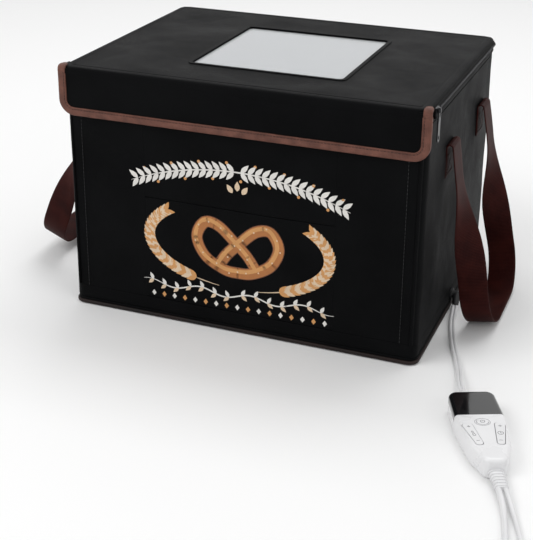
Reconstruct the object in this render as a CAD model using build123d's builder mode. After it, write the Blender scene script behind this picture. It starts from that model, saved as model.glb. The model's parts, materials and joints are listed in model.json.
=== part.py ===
from build123d import *
import math
import os

# Folding dough proofer: a fabric-covered box that folds flat, with a zipped lid and
# window, a heating mat under a wire rack, carrying straps and a corded hand controller.
#
# Frame: millimetres, +Z up, origin at the centre of the base on the floor.
# The front (with the closing flap) faces -Y; the controller lies on the floor at +X.

# ---- driving dimensions -------------------------------------------------------------
BOX_W = 400          # outside of the body, left to right
BOX_D = 300          # outside of the body, front to back
LID_TOP = 282        # top of the closed box
TRAY_H = 24          # stiff base tray; the walls start here
WALL = 5             # board, fabric and lining together
LINING = 0.8         # foil lining
CORNER_R = 10        # vertical corners of the body
GAP = 0.3            # clearance between pieces that move apart
RIM_H = 12           # stiff band round the mouth

# The front and back walls fold in half inwards, as two equal leaves.
CREASE_TOP = 262     # where the walls meet the rim band
CREASE_MID = (TRAY_H + CREASE_TOP) / 2
LEAF_HALF = 108      # half the width of the stiff centre leaves
RIM_TOP = CREASE_TOP + RIM_H

# ---- worked out ---------------------------------------------------------------------
HALF_W, HALF_D = BOX_W / 2, BOX_D / 2
IN_W, IN_D = BOX_W - 2 * WALL, BOX_D - 2 * WALL
PANEL = WALL - LINING
LID_BOTTOM = RIM_TOP + GAP
BOARD_FLOOR = 3                      # thickness of the tray's fabric floor
BOARD_TOP = BOARD_FLOOR + 2.5
LINING_TOP = BOARD_TOP + LINING
MAT_TOP = LINING_TOP + 3

# ---- lid and flap -------------------------------------------------------------------
LID_HALF_W = HALF_W + 0.5
LID_FRONT = -HALF_D - 7
LID_REAR = HALF_D - GAP
LID_SKIN_TOP = LID_TOP - 0.8
LID_SKIN = 1.4
LID_SKIRT = 2.2
WINDOW = 170
WINDOW_AT = (7, -6)
PANE = WINDOW + 10
PANE_T = 0.8
FLAP_HALF_W = HALF_W + 3.5
FLAP_T = 4
FLAP_TOP = RIM_TOP - GAP
FLAP_BOTTOM = 228
FLAP_R = 17
BINDING_W = 9
BINDING_T = 0.5

# ---- zip ----------------------------------------------------------------------------
ZIP_HALF_L = 143
ZIP_T = 0.7
TAPE_LOW = 265.5
BEAD = 1.5
SLIDER_Y = -137
SLIDER_X = HALF_W + 2.6
PULL_X, PULL_Z = HALF_W + 5.9, 276.5

# ---- carrying straps ----------------------------------------------------------------
STRAP_W, STRAP_T = 32, 1.6
STRAP_FRONT, STRAP_REAR = -58, 90
STRAP_PIVOT_X, STRAP_PIVOT_Z = HALF_W + 4.6, 216
STRAP_BEND = 3.5                     # radius of the strap's middle over the bend
STRAP_LEAN = 15                      # degrees that the loops hang outwards
STRAP_DROP = 217.5                   # from the bend to the middle of the loop's foot
STRAP_FOOT_R = 42
STRAP_FOOT_UP = STRAP_FOOT_R + 6     # the edgewise stretch starts here, above the foot
STRAP_END = (183, 212.2)             # lower and upper edge of the sewn ends

# ---- heating mat, grommet, rack -----------------------------------------------------
MAT_W, MAT_D = 330, 230
GROMMET_Y, GROMMET_Z = 4, 14
GROMMET_R = 5.8
RACK_W, RACK_D = 350, 270
RACK_RAIL, RACK_WIRE = 4.0, 2.4
RACK_Z = 19.2
RACK_FOOT_Z = MAT_TOP + GAP + RACK_RAIL / 2
RACK_WIRES = 15

# ---- controller ---------------------------------------------------------------------
CTRL_AT = (295, -264)
CTRL_TURN = 24
CTRL_H = 20
CTRL_SPLIT = 9
CTRL_WALL = 2
CTRL_TOP_V, CTRL_LOW_V = 61, -59
LENS_V = 17
LENS_T = 1.6
CTRL_POSTS = [(16, 49), (-16, 49), (6.5, -45), (-6.5, -45)]
POWER_AT = (0, 4)
ROCKER_AT = (12.6, -16)
ROCKER_LEAN = 10
KEY_TOP = CTRL_H + 0.7
HEATER_U = -4
RELIEF_Z = 10
LEAD_U = 3.3
LEAD_RELIEF = 24
LEAD_Z = 6.5

# ---- cords --------------------------------------------------------------------------
HEATER_D, MAINS_D, SENSOR_D = 5.4, 5.4, 4.4
HEATER_OUT = Vector(0.12, -0.93, -0.35).normalized()   # how the lead leaves the grommet
HEATER_START = Vector(HALF_W + 7, GROMMET_Y, GROMMET_Z) + HEATER_OUT * 17
MAINS_COIL = (322, -500)
SENSOR_COIL = (414, -478)


def save(piece, name):
    """Label a finished piece and write it to its own file."""
    piece.part.label = name
    export_step(piece.part, f"parts/{name}.step")


def plate(width, depth, radius, low, high, at=(0, 0)):
    """A flat plate with rounded corners, for the open BuildPart."""
    with BuildSketch(Plane.XY.offset(low)) as outline:
        with Locations(at):
            RectangleRounded(width, depth, radius)
    extrude(outline.sketch, amount=high - low)


def cut_plate(width, depth, radius, low, high, at=(0, 0)):
    """The same plate, taken away from the open BuildPart."""
    with BuildSketch(Plane.XY.offset(low)) as outline:
        with Locations(at):
            RectangleRounded(width, depth, radius)
    extrude(outline.sketch, amount=high - low, mode=Mode.SUBTRACT)


def block(x, y, z, mode=Mode.ADD):
    """A box between two values on each axis."""
    with Locations(((x[0] + x[1]) / 2, (y[0] + y[1]) / 2, (z[0] + z[1]) / 2)):
        Box(abs(x[1] - x[0]), abs(y[1] - y[0]), abs(z[1] - z[0]), mode=mode)


# ---- base ---------------------------------------------------------------------------
def grommet_hole():
    """The round hole through the right-hand tray wall, for the open BuildPart."""
    with BuildSketch(Plane.YZ.offset(HALF_W - 10)) as outline:
        with Locations((GROMMET_Y, GROMMET_Z)):
            Circle(GROMMET_R + 0.2)
    extrude(outline.sketch, amount=12, mode=Mode.SUBTRACT)


def make_base():
    with BuildPart() as cover:
        plate(BOX_W, BOX_D, CORNER_R, 0, TRAY_H)
        fillet(cover.faces().sort_by(Axis.Z)[0].edges(), 1.0)
        cut_plate(IN_W, IN_D, CORNER_R - WALL, BOARD_FLOOR, TRAY_H + 1)
        grommet_hole()
    save(cover, "base_cover")

    with BuildPart() as board:
        plate(IN_W, IN_D, CORNER_R - WALL, BOARD_FLOOR, BOARD_TOP)
    save(board, "base_board")

    with BuildPart() as lining:
        plate(IN_W, IN_D, CORNER_R - WALL, BOARD_TOP, TRAY_H - 0.5)
        inner = CORNER_R - WALL - LINING
        cut_plate(IN_W - 2 * LINING, IN_D - 2 * LINING, inner, LINING_TOP, TRAY_H)
        grommet_hole()
    save(lining, "base_lining")

    with BuildPart() as binding:
        proud = 1.8
        plate(BOX_W + 2 * proud, BOX_D + 2 * proud, CORNER_R + proud, 1.2, 5.2)
        outer = binding.faces().filter_by(GeomType.PLANE).filter_by(Axis.Z)
        fillet(outer.edges(), 1.1)
        cut_plate(BOX_W, BOX_D, CORNER_R, 0, 6)
    save(binding, "base_binding")


def make_heating_mat():
    boss = (139, 165)
    with BuildPart() as mat:
        plate(MAT_W, MAT_D, 12, LINING_TOP, MAT_TOP)
        fillet(mat.faces().sort_by(Axis.Z)[-1].edges(), 1.0)
        block(boss, (GROMMET_Y - 11, GROMMET_Y + 11), (LINING_TOP, GROMMET_Z + 2.9))
        upright = mat.edges().filter_by(Axis.Z).filter_by_position(Axis.X, 130, 170)
        fillet(upright, 3)
        with BuildSketch(Plane.YZ.offset(boss[1] - 1)):
            with Locations((GROMMET_Y, GROMMET_Z)):
                Circle(HEATER_D / 2)
        extrude(amount=HALF_W - 8.8 - boss[1] + 1)
    save(mat, "heating_mat")


def make_grommet():
    """A bush in the tray wall whose outer end is a soft elbow that lays the cord down."""
    flange = 7.6
    seat = HALF_W - WALL - LINING
    elbow = Vector(HALF_W + 7, GROMMET_Y, GROMMET_Z)
    with BuildPart() as bush:
        for start, length, radius in (
            (seat - 3, 3, flange),
            (seat, HALF_W - seat, GROMMET_R),
            (HALF_W, 2.2, flange),
            (HALF_W, 7, 4.8),
        ):
            with BuildSketch(Plane.YZ.offset(start)):
                with Locations((GROMMET_Y, GROMMET_Z)):
                    Circle(radius)
            extrude(amount=length)
        with Locations(elbow):
            Sphere(4.8)
        with BuildSketch(Plane(origin=elbow, z_dir=HEATER_OUT)):
            Circle(4.8)
        with BuildSketch(Plane(origin=elbow + HEATER_OUT * 17, z_dir=HEATER_OUT)):
            Circle(3.4)
        loft()
    save(bush, "cable_grommet")


# ---- walls --------------------------------------------------------------------------
def half_ring(side, outer, inner, low, high, start):
    """A U of wall round one end of the body: outer and inner are insets from its outside."""
    with BuildSketch(Plane.XY.offset(low)) as outline:
        RectangleRounded(BOX_W - 2 * outer, BOX_D - 2 * outer, CORNER_R - outer)
        hole = CORNER_R - inner
        RectangleRounded(BOX_W - 2 * inner, BOX_D - 2 * inner, hole, mode=Mode.SUBTRACT)
        keep = HALF_W + 20 - start
        with Locations((side * (start + keep / 2), 0)):
            Rectangle(keep, BOX_D + 40, mode=Mode.INTERSECT)
    extrude(outline.sketch, amount=high - low)


def make_end_walls():
    """Soft walls that wrap both corners, and their foil."""
    start, high = LEAF_HALF + GAP, CREASE_TOP - GAP
    for side, name in ((1, "right"), (-1, "left")):
        with BuildPart() as wall:
            half_ring(side, 0, PANEL, TRAY_H, high, start)
        save(wall, f"{name}_wall")
        with BuildPart() as lining:
            half_ring(side, PANEL, WALL, TRAY_H, high, start)
        save(lining, f"{name}_wall_lining")


def make_leaves():
    """The stiff centre leaves of the front and back walls, and their foil."""
    levels = {
        "lower": (TRAY_H + GAP, CREASE_MID - GAP),
        "upper": (CREASE_MID + GAP, CREASE_TOP - GAP),
    }
    width = (-LEAF_HALF, LEAF_HALF)
    for side, face in ((-1, "front"), (1, "back")):
        outside, inside = side * HALF_D, side * (HALF_D - PANEL)
        for level, span in levels.items():
            with BuildPart() as panel:
                block(width, (outside, inside), span)
                outer = panel.faces().sort_by(Axis.Y)[0 if side < 0 else -1]
                fillet(outer.edges().filter_by(Axis.X), 0.8)
            save(panel, f"{face}_{level}_panel")
            with BuildPart() as lining:
                block(width, (inside, side * (HALF_D - WALL)), span)
            save(lining, f"{face}_{level}_lining")
    with BuildPart() as loop_strip:
        with BuildSketch(Plane.XZ.offset(HALF_D)):
            with Locations((0, 248)):
                RectangleRounded(190, 20, 3)
        extrude(amount=1.5)
    save(loop_strip, "front_loop_strip")


# ---- rim ----------------------------------------------------------------------------
def make_rim():
    with BuildPart() as band:
        plate(BOX_W, BOX_D, CORNER_R, CREASE_TOP, RIM_TOP)
        fillet(band.faces().sort_by(Axis.Z)[-1].edges(), 0.8)
        cut_plate(IN_W, IN_D, CORNER_R - WALL, CREASE_TOP - 1, RIM_TOP + 1)
        block((-180, 180), (HALF_D, HALF_D + 0.7), (264, LID_TOP - 2))   # lid hinge tape
    save(band, "rim_band")

    with BuildPart() as tapes:
        for side in (1, -1):
            face = side * HALF_W
            along = (-ZIP_HALF_L, ZIP_HALF_L)
            block((face, face + side * ZIP_T), along, (TAPE_LOW, RIM_TOP - 0.4))
            bead = (face + side * ZIP_T, face + side * (ZIP_T + BEAD))
            block(bead, along, (RIM_TOP - 2.2, RIM_TOP - 0.4))
    save(tapes, "wall_zip_tapes")


# ---- lid ----------------------------------------------------------------------------
LID_MID_Y = (LID_FRONT + LID_REAR) / 2
LID_D = LID_REAR - LID_FRONT


def lid_plate(inset, low, high, cut=False):
    size = (2 * (LID_HALF_W - inset), LID_D - 2 * inset, CORNER_R - inset)
    (cut_plate if cut else plate)(*size, low, high, at=(0, LID_MID_Y))


def make_lid():
    skin_under = LID_SKIN_TOP - LID_SKIN
    lining_top = LID_BOTTOM + LINING
    with BuildPart() as cover:
        lid_plate(0, LID_BOTTOM, LID_SKIN_TOP)
        fillet(cover.faces().sort_by(Axis.Z)[-1].edges(), 3)
        lid_plate(LID_SKIRT, LID_BOTTOM - 1, skin_under, cut=True)
        cut_plate(WINDOW, WINDOW, 5, LID_BOTTOM, LID_TOP, at=WINDOW_AT)
    save(cover, "lid_cover")

    with BuildPart() as board:
        lid_plate(LID_SKIRT, lining_top, skin_under)
        cut_plate(WINDOW + 2, WINDOW + 2, 6, LID_BOTTOM, LID_TOP, at=WINDOW_AT)
        cut_plate(PANE + 0.4, PANE + 0.4, 5.2, skin_under - PANE_T, LID_TOP, at=WINDOW_AT)
    save(board, "lid_board")

    with BuildPart() as lining:
        lid_plate(LID_SKIRT, LID_BOTTOM, lining_top)
        cut_plate(WINDOW, WINDOW, 5, LID_BOTTOM - 1, LID_TOP, at=WINDOW_AT)
    save(lining, "lid_lining")

    with BuildPart() as pane:
        plate(PANE, PANE, 5, skin_under - PANE_T, skin_under, at=WINDOW_AT)
    save(pane, "window_pane")

    with BuildPart() as frame:
        plate(WINDOW + 9, WINDOW + 9, 8, LID_SKIN_TOP, LID_TOP, at=WINDOW_AT)
        cut_plate(WINDOW, WINDOW, 5, LID_SKIN_TOP - 1, LID_TOP + 1, at=WINDOW_AT)
    save(frame, "window_frame")

    with BuildPart() as tapes:
        for side in (1, -1):
            face = side * LID_HALF_W
            along = (-ZIP_HALF_L, ZIP_HALF_L)
            block((face, face + side * ZIP_T), along, (LID_BOTTOM + 0.2, LID_SKIN_TOP - 3))
            bead = (face + side * ZIP_T, face + side * (ZIP_T + 1.0))
            block(bead, along, (LID_BOTTOM + 0.2, LID_BOTTOM + 2))
    save(tapes, "lid_zip_tapes")


def flap_outline(half_width, bottom, radius):
    """The flap seen from the front: square at the top, rounded below."""
    top = FLAP_TOP
    with BuildLine() as outline:
        FilletPolyline(
            (-half_width, top), (-half_width, bottom), (half_width, bottom), (half_width, top),
            radius=radius,
        )
        Line((half_width, top), (-half_width, top))
    make_face(outline.edges())


def make_flap():
    front = -LID_FRONT
    with BuildPart() as panel:
        with BuildSketch(Plane.XZ.offset(front - FLAP_T)):
            flap_outline(FLAP_HALF_W, FLAP_BOTTOM, FLAP_R)
        extrude(amount=FLAP_T)
    with BuildPart() as binding:
        with BuildSketch(Plane.XZ.offset(front - FLAP_T - BINDING_T)):
            flap_outline(FLAP_HALF_W + BINDING_T, FLAP_BOTTOM - BINDING_T, FLAP_R + BINDING_T)
        extrude(amount=FLAP_T + 2 * BINDING_T)
        inner = FLAP_HALF_W - BINDING_W
        with BuildSketch(Plane.XZ.offset(front - FLAP_T - 2)):
            flap_outline(inner, FLAP_BOTTOM + BINDING_W, FLAP_R - BINDING_W)
        extrude(amount=FLAP_T + 4, mode=Mode.SUBTRACT)
        with BuildSketch(Plane.XZ.offset(front - FLAP_T)):
            flap_outline(FLAP_HALF_W, FLAP_BOTTOM, FLAP_R)
        extrude(amount=FLAP_T, mode=Mode.SUBTRACT)
    save(panel, "flap_panel")
    save(binding, "flap_binding")

    with BuildPart() as hooks:
        with BuildSketch(Plane.XZ.offset(front - FLAP_T - 1.2)):
            with Locations((0, 248)):
                RectangleRounded(190, 20, 3)
        extrude(amount=1.2)
    save(hooks, "flap_hook_strip")


def make_zip_sliders():
    for side, name in ((1, "right"), (-1, "left")):
        outward = Plane(origin=(0, SLIDER_Y, 0), x_dir=(0, 1, 0), z_dir=(1, 0, 0))
        with BuildPart() as slider:
            with BuildSketch(outward.offset(SLIDER_X)):
                with BuildLine():
                    Polyline(
                        (-4, 268), (4, 268), (6.5, 274), (5, 279.5), (-5, 279.5), (-6.5, 274),
                        close=True,
                    )
                make_face()
            extrude(amount=1.8)
            lower = (HALF_W + 1.0, SLIDER_X)
            along = (SLIDER_Y - 4, SLIDER_Y + 4)
            block(lower, along, (268, RIM_TOP - 2.6))
            lug = (SLIDER_X + 1.8, PULL_X + 1.6)
            block(lug, (SLIDER_Y - 1.5, SLIDER_Y + 1.5), (273.6, 279.2))
            outer = slider.edges().filter_by(Axis.Y).filter_by_position(Axis.X, 207, 208)
            fillet(outer, 1.2)
            with BuildSketch(Plane(origin=(PULL_X, SLIDER_Y - 3, PULL_Z), z_dir=(0, 1, 0))):
                Circle(1.2)
            extrude(amount=6, mode=Mode.SUBTRACT)
            if side < 0:
                mirror(about=Plane.YZ, mode=Mode.REPLACE)
        save(slider, f"{name}_zip_slider")

        with BuildPart() as pull:
            with BuildSketch(Plane(origin=(PULL_X, SLIDER_Y - 4, PULL_Z), z_dir=(0, 1, 0))):
                Circle(0.9)
            extrude(amount=8)
            for arm in (-1, 1):
                along = (SLIDER_Y + arm * 2.0, SLIDER_Y + arm * 4.0)
                block((PULL_X - 0.7, PULL_X + 0.7), along, (268, PULL_Z))
            with BuildSketch(outward.offset(PULL_X - 0.7)):
                with Locations((0, 257)):
                    RectangleRounded(8, 26, 3.9)
                with Locations((0, 248.6)):
                    Circle(2.2, mode=Mode.SUBTRACT)
            extrude(amount=1.4)
            if side < 0:
                mirror(about=Plane.YZ, mode=Mode.REPLACE)
        save(pull, f"{name}_zip_pull")


# ---- carrying straps ----------------------------------------------------------------
LEAN = math.radians(STRAP_LEAN)
STRAP_DOWN = Vector(math.sin(LEAN), 0, -math.cos(LEAN))
STRAP_OUT = Vector(math.cos(LEAN), 0, math.sin(LEAN))
STRAP_TOP = Vector(STRAP_PIVOT_X, 0, STRAP_PIVOT_Z) + STRAP_OUT * STRAP_BEND


def strap_section(at, twist):
    """The strap's section across its run: wide along Y at twist 0, along STRAP_OUT at 90."""
    turn = math.radians(twist)
    wide = Vector(0, 1, 0) * math.cos(turn) + STRAP_OUT * math.sin(turn)
    with BuildSketch(Plane(origin=at, x_dir=wide, z_dir=STRAP_DOWN)) as section:
        Rectangle(STRAP_W, STRAP_T)
    return section.sketch


def strap_leg(y):
    """One leg: flat against the wall at the top, turned edge-on above the foot."""
    foot = STRAP_DROP - STRAP_FOOT_UP
    flat = 62
    base = STRAP_TOP + Vector(0, y, 0)
    steps = 6
    sections = [strap_section(base + STRAP_DOWN * 3.9, 0)]
    for k in range(steps + 1):
        fall = flat + (foot - flat) * k / steps
        sections.append(strap_section(base + STRAP_DOWN * fall, 90 * k / steps))
    loft(sections, ruled=True)


def strap_foot():
    """The U at the bottom: a band of strap with two quarter turns, lying nearly flat."""
    plane = Plane(origin=STRAP_TOP, x_dir=(0, 1, 0), z_dir=STRAP_OUT)
    top = STRAP_FOOT_UP - STRAP_DROP
    half = STRAP_T / 2
    with BuildSketch(plane.offset(-STRAP_W / 2)) as band:
        with BuildLine() as outline:
            edges = []
            for out in (half, -half):
                front, rear, low = STRAP_FRONT - out, STRAP_REAR + out, -STRAP_DROP - out
                edges.append(FilletPolyline(
                    (front, top), (front, low), (rear, low), (rear, top),
                    radius=STRAP_FOOT_R + out,
                ))
            Line(edges[0] @ 0, edges[1] @ 0)
            Line(edges[0] @ 1, edges[1] @ 1)
        make_face(outline.edges())
    extrude(band.sketch, amount=STRAP_W)


def make_straps():
    for side, name in ((1, "right"), (-1, "left")):
        with BuildPart() as ends:
            for y in (STRAP_FRONT, STRAP_REAR):
                across = (y - STRAP_W / 2, y + STRAP_W / 2)
                block((HALF_W + GAP, HALF_W + GAP + STRAP_T), across, STRAP_END)
            if side < 0:
                mirror(about=Plane.YZ, mode=Mode.REPLACE)
        save(ends, f"{name}_strap_ends")

        with BuildPart() as arches:
            for y in (STRAP_FRONT, STRAP_REAR):
                centre = Vector(STRAP_PIVOT_X, y - STRAP_W / 2, STRAP_PIVOT_Z)
                sweep_plane = Plane(origin=centre, x_dir=(1, 0, 0), z_dir=(0, -1, 0))
                with BuildSketch(sweep_plane):
                    with BuildLine():
                        arcs = [
                            CenterArc((0, 0), radius, STRAP_LEAN, 180 - STRAP_LEAN)
                            for radius in (
                                STRAP_BEND - STRAP_T / 2,
                                STRAP_BEND + STRAP_T / 2,
                            )
                        ]
                        Line(arcs[0] @ 0, arcs[1] @ 0)
                        Line(arcs[0] @ 1, arcs[1] @ 1)
                    make_face()
                extrude(amount=-STRAP_W)
            if side < 0:
                mirror(about=Plane.YZ, mode=Mode.REPLACE)
        save(arches, f"{name}_strap_arches")

        with BuildPart() as loop:
            strap_leg(STRAP_FRONT)
            strap_leg(STRAP_REAR)
            strap_foot()
            if side < 0:
                mirror(about=Plane.YZ, mode=Mode.REPLACE)
        save(loop, f"{name}_strap_loop")


# ---- rack ---------------------------------------------------------------------------
def rack_rail_route():
    """The rim wire of the rack, with a V-shaped foot at a sixth from each end of the long sides."""
    half_w, half_d = RACK_W / 2 - RACK_RAIL / 2, RACK_D / 2 - RACK_RAIL / 2
    foot_x, spread = RACK_W / 3, 9
    points, radii = [], []
    for side in (-1, 1):
        points.append((side * half_w, side * half_d, RACK_Z))
        radii.append(22)
        for x in (side * foot_x, -side * foot_x):
            for step, z in ((side * spread, RACK_Z), (0, RACK_FOOT_Z), (-side * spread, RACK_Z)):
                points.append((x + step, side * half_d, z))
                radii.append(3.2)
        points.append((-side * half_w, side * half_d, RACK_Z))
        radii.append(22)
    return points, radii


def make_rack():
    points, radii = rack_rail_route()
    with BuildPart() as rack:
        with BuildLine() as rail:
            FilletPolyline(*points, radius=radii, close=True)
        start = rail.line @ 0
        heading = rail.line % 0
        with BuildSketch(Plane(origin=start, z_dir=heading)):
            Circle(RACK_RAIL / 2)
        sweep(path=rail.line)
        pitch = (RACK_D - 2 * RACK_RAIL) / (RACK_WIRES + 1)
        reach = RACK_W / 2 - RACK_RAIL / 2
        for n in range(RACK_WIRES):
            y = (n - (RACK_WIRES - 1) / 2) * pitch
            with BuildSketch(Plane(origin=(-reach, y, RACK_Z), z_dir=(1, 0, 0))):
                Circle(RACK_WIRE / 2)
            extrude(amount=2 * reach)
        drop = RACK_Z - RACK_WIRE * 0.8
        for x in (-RACK_W / 6, RACK_W / 6):
            start_y = -RACK_D / 2 + RACK_RAIL / 2
            with BuildSketch(Plane(origin=(x, start_y, drop), z_dir=(0, 1, 0))):
                Circle(RACK_WIRE / 2)
            extrude(amount=-2 * start_y)
    save(rack, "wire_rack")


# ---- controller ---------------------------------------------------------------------
TURN = math.radians(CTRL_TURN)
CTRL_U = Vector(math.cos(TURN), math.sin(TURN), 0)
CTRL_V = Vector(-math.sin(TURN), math.cos(TURN), 0)
CTRL_O = Vector(*CTRL_AT, 0)


def ctrl_plane(height=0):
    """The controller's own plane: u across it, v towards the heater lead."""
    return Plane(origin=CTRL_O + Vector(0, 0, height), x_dir=CTRL_U, z_dir=(0, 0, 1))


def ctrl_point(u, v, z):
    return CTRL_O + CTRL_U * u + CTRL_V * v + Vector(0, 0, z)


def ctrl_outline(inset=0.0):
    """The housing from above: square-shouldered at the display, tapering to a round end."""
    corners = [(22.5, CTRL_TOP_V, 9), (24, 14, 70), (19, -33, 26), (9.5, CTRL_LOW_V, 8)]
    with BuildLine() as outline:
        right = [(u, v) for u, v, _ in corners]
        left = [(-u, v) for u, v, _ in reversed(corners)]
        radii = [r for _, _, r in corners]
        FilletPolyline(*right, *left, radius=radii + radii[::-1], close=True)
    make_face(outline.edges())
    if inset:
        offset(amount=-inset, mode=Mode.REPLACE)


def ctrl_solid(inset, low, high, mode=Mode.ADD):
    with BuildSketch(ctrl_plane(low)) as outline:
        ctrl_outline(inset)
    extrude(outline.sketch, amount=high - low, mode=mode)


def rocker_outline(side, grow=0.0):
    """A long key, wider at its upper end, that leans with the side of the housing."""
    with BuildLine() as outline:
        FilletPolyline(
            (-5 - grow, 18 + grow), (-3.4 - grow, -18 - grow), (3.4 + grow, -18 - grow),
            (5 + grow, 18 + grow), radius=3.2, close=True,
        )
    make_face(outline.edges())


def rocker_plane(side, height):
    at = ctrl_point(side * ROCKER_AT[0], ROCKER_AT[1], height)
    lean = TURN + math.radians(-side * ROCKER_LEAN)
    return Plane(origin=at, x_dir=(math.cos(lean), math.sin(lean), 0), z_dir=(0, 0, 1))


def make_controller_shells():
    lens_slab = (60, CTRL_TOP_V - LENS_V + 5)
    with BuildPart() as lower:
        ctrl_solid(0, 0, CTRL_SPLIT)
        fillet(lower.faces().sort_by(Axis.Z)[0].edges(), 2.5)
        ctrl_solid(CTRL_WALL, CTRL_WALL, CTRL_SPLIT + 1, Mode.SUBTRACT)
        with BuildSketch(ctrl_plane(CTRL_WALL)):
            with Locations(*CTRL_POSTS):
                Circle(3.4)
        extrude(amount=CTRL_SPLIT - 2 * CTRL_WALL + 1.0)
        with BuildSketch(ctrl_plane(0)):
            with Locations(*CTRL_POSTS):
                Circle(2.6)
        extrude(amount=2.5, mode=Mode.SUBTRACT)
        with BuildSketch(ctrl_plane(0)):
            with Locations(*CTRL_POSTS):
                Circle(1.3)
        extrude(amount=CTRL_SPLIT, mode=Mode.SUBTRACT)
    save(lower, "controller_bottom_shell")

    with BuildPart() as lens:
        ctrl_solid(0, CTRL_SPLIT, CTRL_H)
        fillet(lens.faces().sort_by(Axis.Z)[-1].edges(), 4)
        with BuildSketch(ctrl_plane(CTRL_SPLIT)):
            with Locations((0, LENS_V + lens_slab[1] / 2)):
                Rectangle(*lens_slab)
        extrude(amount=CTRL_H, mode=Mode.INTERSECT)
        ctrl_solid(LENS_T, 0, CTRL_H - LENS_T, Mode.SUBTRACT)
        with BuildSketch(ctrl_plane(0)):
            ctrl_outline()
        extrude(amount=CTRL_SPLIT + 3, mode=Mode.SUBTRACT)
    save(lens, "display_lens")

    with BuildPart() as upper:
        ctrl_solid(0, CTRL_SPLIT, CTRL_H)
        fillet(upper.faces().sort_by(Axis.Z)[-1].edges(), 4)
        add(lens.part, mode=Mode.SUBTRACT)
        ctrl_solid(CTRL_WALL + LENS_T, CTRL_SPLIT - 1, CTRL_H - LENS_T - CTRL_WALL, Mode.SUBTRACT)
        with BuildSketch(ctrl_plane(CTRL_SPLIT)):
            with Locations(*CTRL_POSTS):
                Circle(3)
        extrude(amount=CTRL_H - CTRL_SPLIT - LENS_T - CTRL_WALL)
        with BuildSketch(ctrl_plane(CTRL_SPLIT)):
            with Locations(*CTRL_POSTS):
                Circle(0.9)
        extrude(amount=6, mode=Mode.SUBTRACT)
        with BuildSketch(ctrl_plane(CTRL_SPLIT + 4)):
            with Locations(POWER_AT):
                Ellipse(6, 5)
        extrude(amount=CTRL_H, mode=Mode.SUBTRACT)
        for side in (1, -1):
            with BuildSketch(rocker_plane(side, CTRL_SPLIT + 4)):
                rocker_outline(side, grow=0.5)
            extrude(amount=CTRL_H, mode=Mode.SUBTRACT)
    save(upper, "controller_top_shell")


def make_controller_inside():
    with BuildPart() as board:
        ctrl_solid(CTRL_WALL + LENS_T + 0.6, CTRL_SPLIT, CTRL_SPLIT + 1.6)
        with BuildSketch(ctrl_plane(CTRL_SPLIT)):
            with Locations(*CTRL_POSTS):
                Circle(3.5)
        extrude(amount=3, mode=Mode.SUBTRACT)
        switches = [POWER_AT]
        for side in (1, -1):
            for step in (11, -11):
                at = rocker_plane(side, 0).from_local_coords((0, step, 0))
                local = ctrl_plane().to_local_coords(at)
                switches.append((local.X, local.Y))
        with BuildSketch(ctrl_plane(CTRL_SPLIT + 1.6)):
            with Locations(*switches):
                Rectangle(5, 5)
        extrude(amount=4.6)
        with BuildSketch(ctrl_plane(CTRL_SPLIT + 1.6)):
            with Locations((0, 34)):
                Rectangle(24, 22)
        extrude(amount=4.6)
    save(board, "control_board")

    with BuildPart() as screws:
        for u, v in CTRL_POSTS:
            for low, high, radius in ((0.5, 2.4, 2.4), (2.4, 14.5, 0.9)):
                with BuildSketch(ctrl_plane(low)):
                    with Locations((u, v)):
                        Circle(radius)
                extrude(amount=high - low)
    save(screws, "controller_screws")


def make_keys():
    underside = CTRL_SPLIT + 1.6 + 4.6 + 1.2
    with BuildPart() as power:
        with BuildSketch(ctrl_plane(underside)):
            with Locations(POWER_AT):
                Ellipse(5.6, 4.6)
        extrude(amount=KEY_TOP - underside)
        fillet(power.faces().sort_by(Axis.Z)[-1].edges(), 0.6)
    save(power, "power_key")
    for side, name in ((-1, "temperature_key"), (1, "time_key")):
        with BuildPart() as key:
            with BuildSketch(rocker_plane(side, underside)):
                rocker_outline(side)
            extrude(amount=KEY_TOP - underside)
            fillet(key.faces().sort_by(Axis.Z)[-1].edges(), 0.6)
        save(key, name)


def make_reliefs():
    """Moulded bend reliefs: a round one for the heater lead, a wide ribbed one for two leads."""
    with BuildPart() as heater:
        top = ctrl_point(HEATER_U, CTRL_TOP_V, RELIEF_Z)
        for n in range(4):
            origin = top + CTRL_V * (3.5 * n)
            with BuildSketch(Plane(origin=origin, z_dir=CTRL_V)):
                Circle(5.4 - 0.5 * n)
            extrude(amount=2.4)
            with BuildSketch(Plane(origin=origin, z_dir=CTRL_V)):
                Circle(4.4 - 0.4 * n)
            extrude(amount=3.5)
    save(heater, "heater_strain_relief")

    with BuildPart() as leads:
        for n in range(6):
            width, height = 15 - 0.5 * n, 10 - 0.5 * n
            origin = ctrl_point(0, CTRL_LOW_V, LEAD_Z) - CTRL_V * (4 * n)
            plane = Plane(origin=origin, x_dir=CTRL_U, z_dir=-CTRL_V)
            for shrink, length in ((0, 2.6), (0.8, 4)):
                with BuildSketch(plane):
                    tall = height - 2 * shrink
                    RectangleRounded(width - 2 * shrink, tall, tall / 2 - 0.1)
                extrude(amount=length)
    save(leads, "mains_strain_relief")


# ---- cords --------------------------------------------------------------------------


def radii_for(points):
    """For each corner: 0.45 of its shorter run over the tangent of half its turn."""
    radii = []
    for a, b, c in zip(points, points[1:], points[2:]):
        run_in, run_out = b - a, c - b
        turn = math.radians(run_in.get_angle(run_out))
        radii.append(0.45 * min(run_in.length, run_out.length) / math.tan(turn / 2))
    return radii


def make_cord(name, points, diameter):
    points = [Vector(*p) for p in points]
    radii = radii_for(points)
    with BuildPart() as cord:
        with BuildLine() as route:
            FilletPolyline(*points, radius=radii)
        with BuildSketch(Plane(origin=points[0], z_dir=points[1] - points[0])):
            Circle(diameter / 2)
        sweep(path=route.line)
    save(cord, name)


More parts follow.
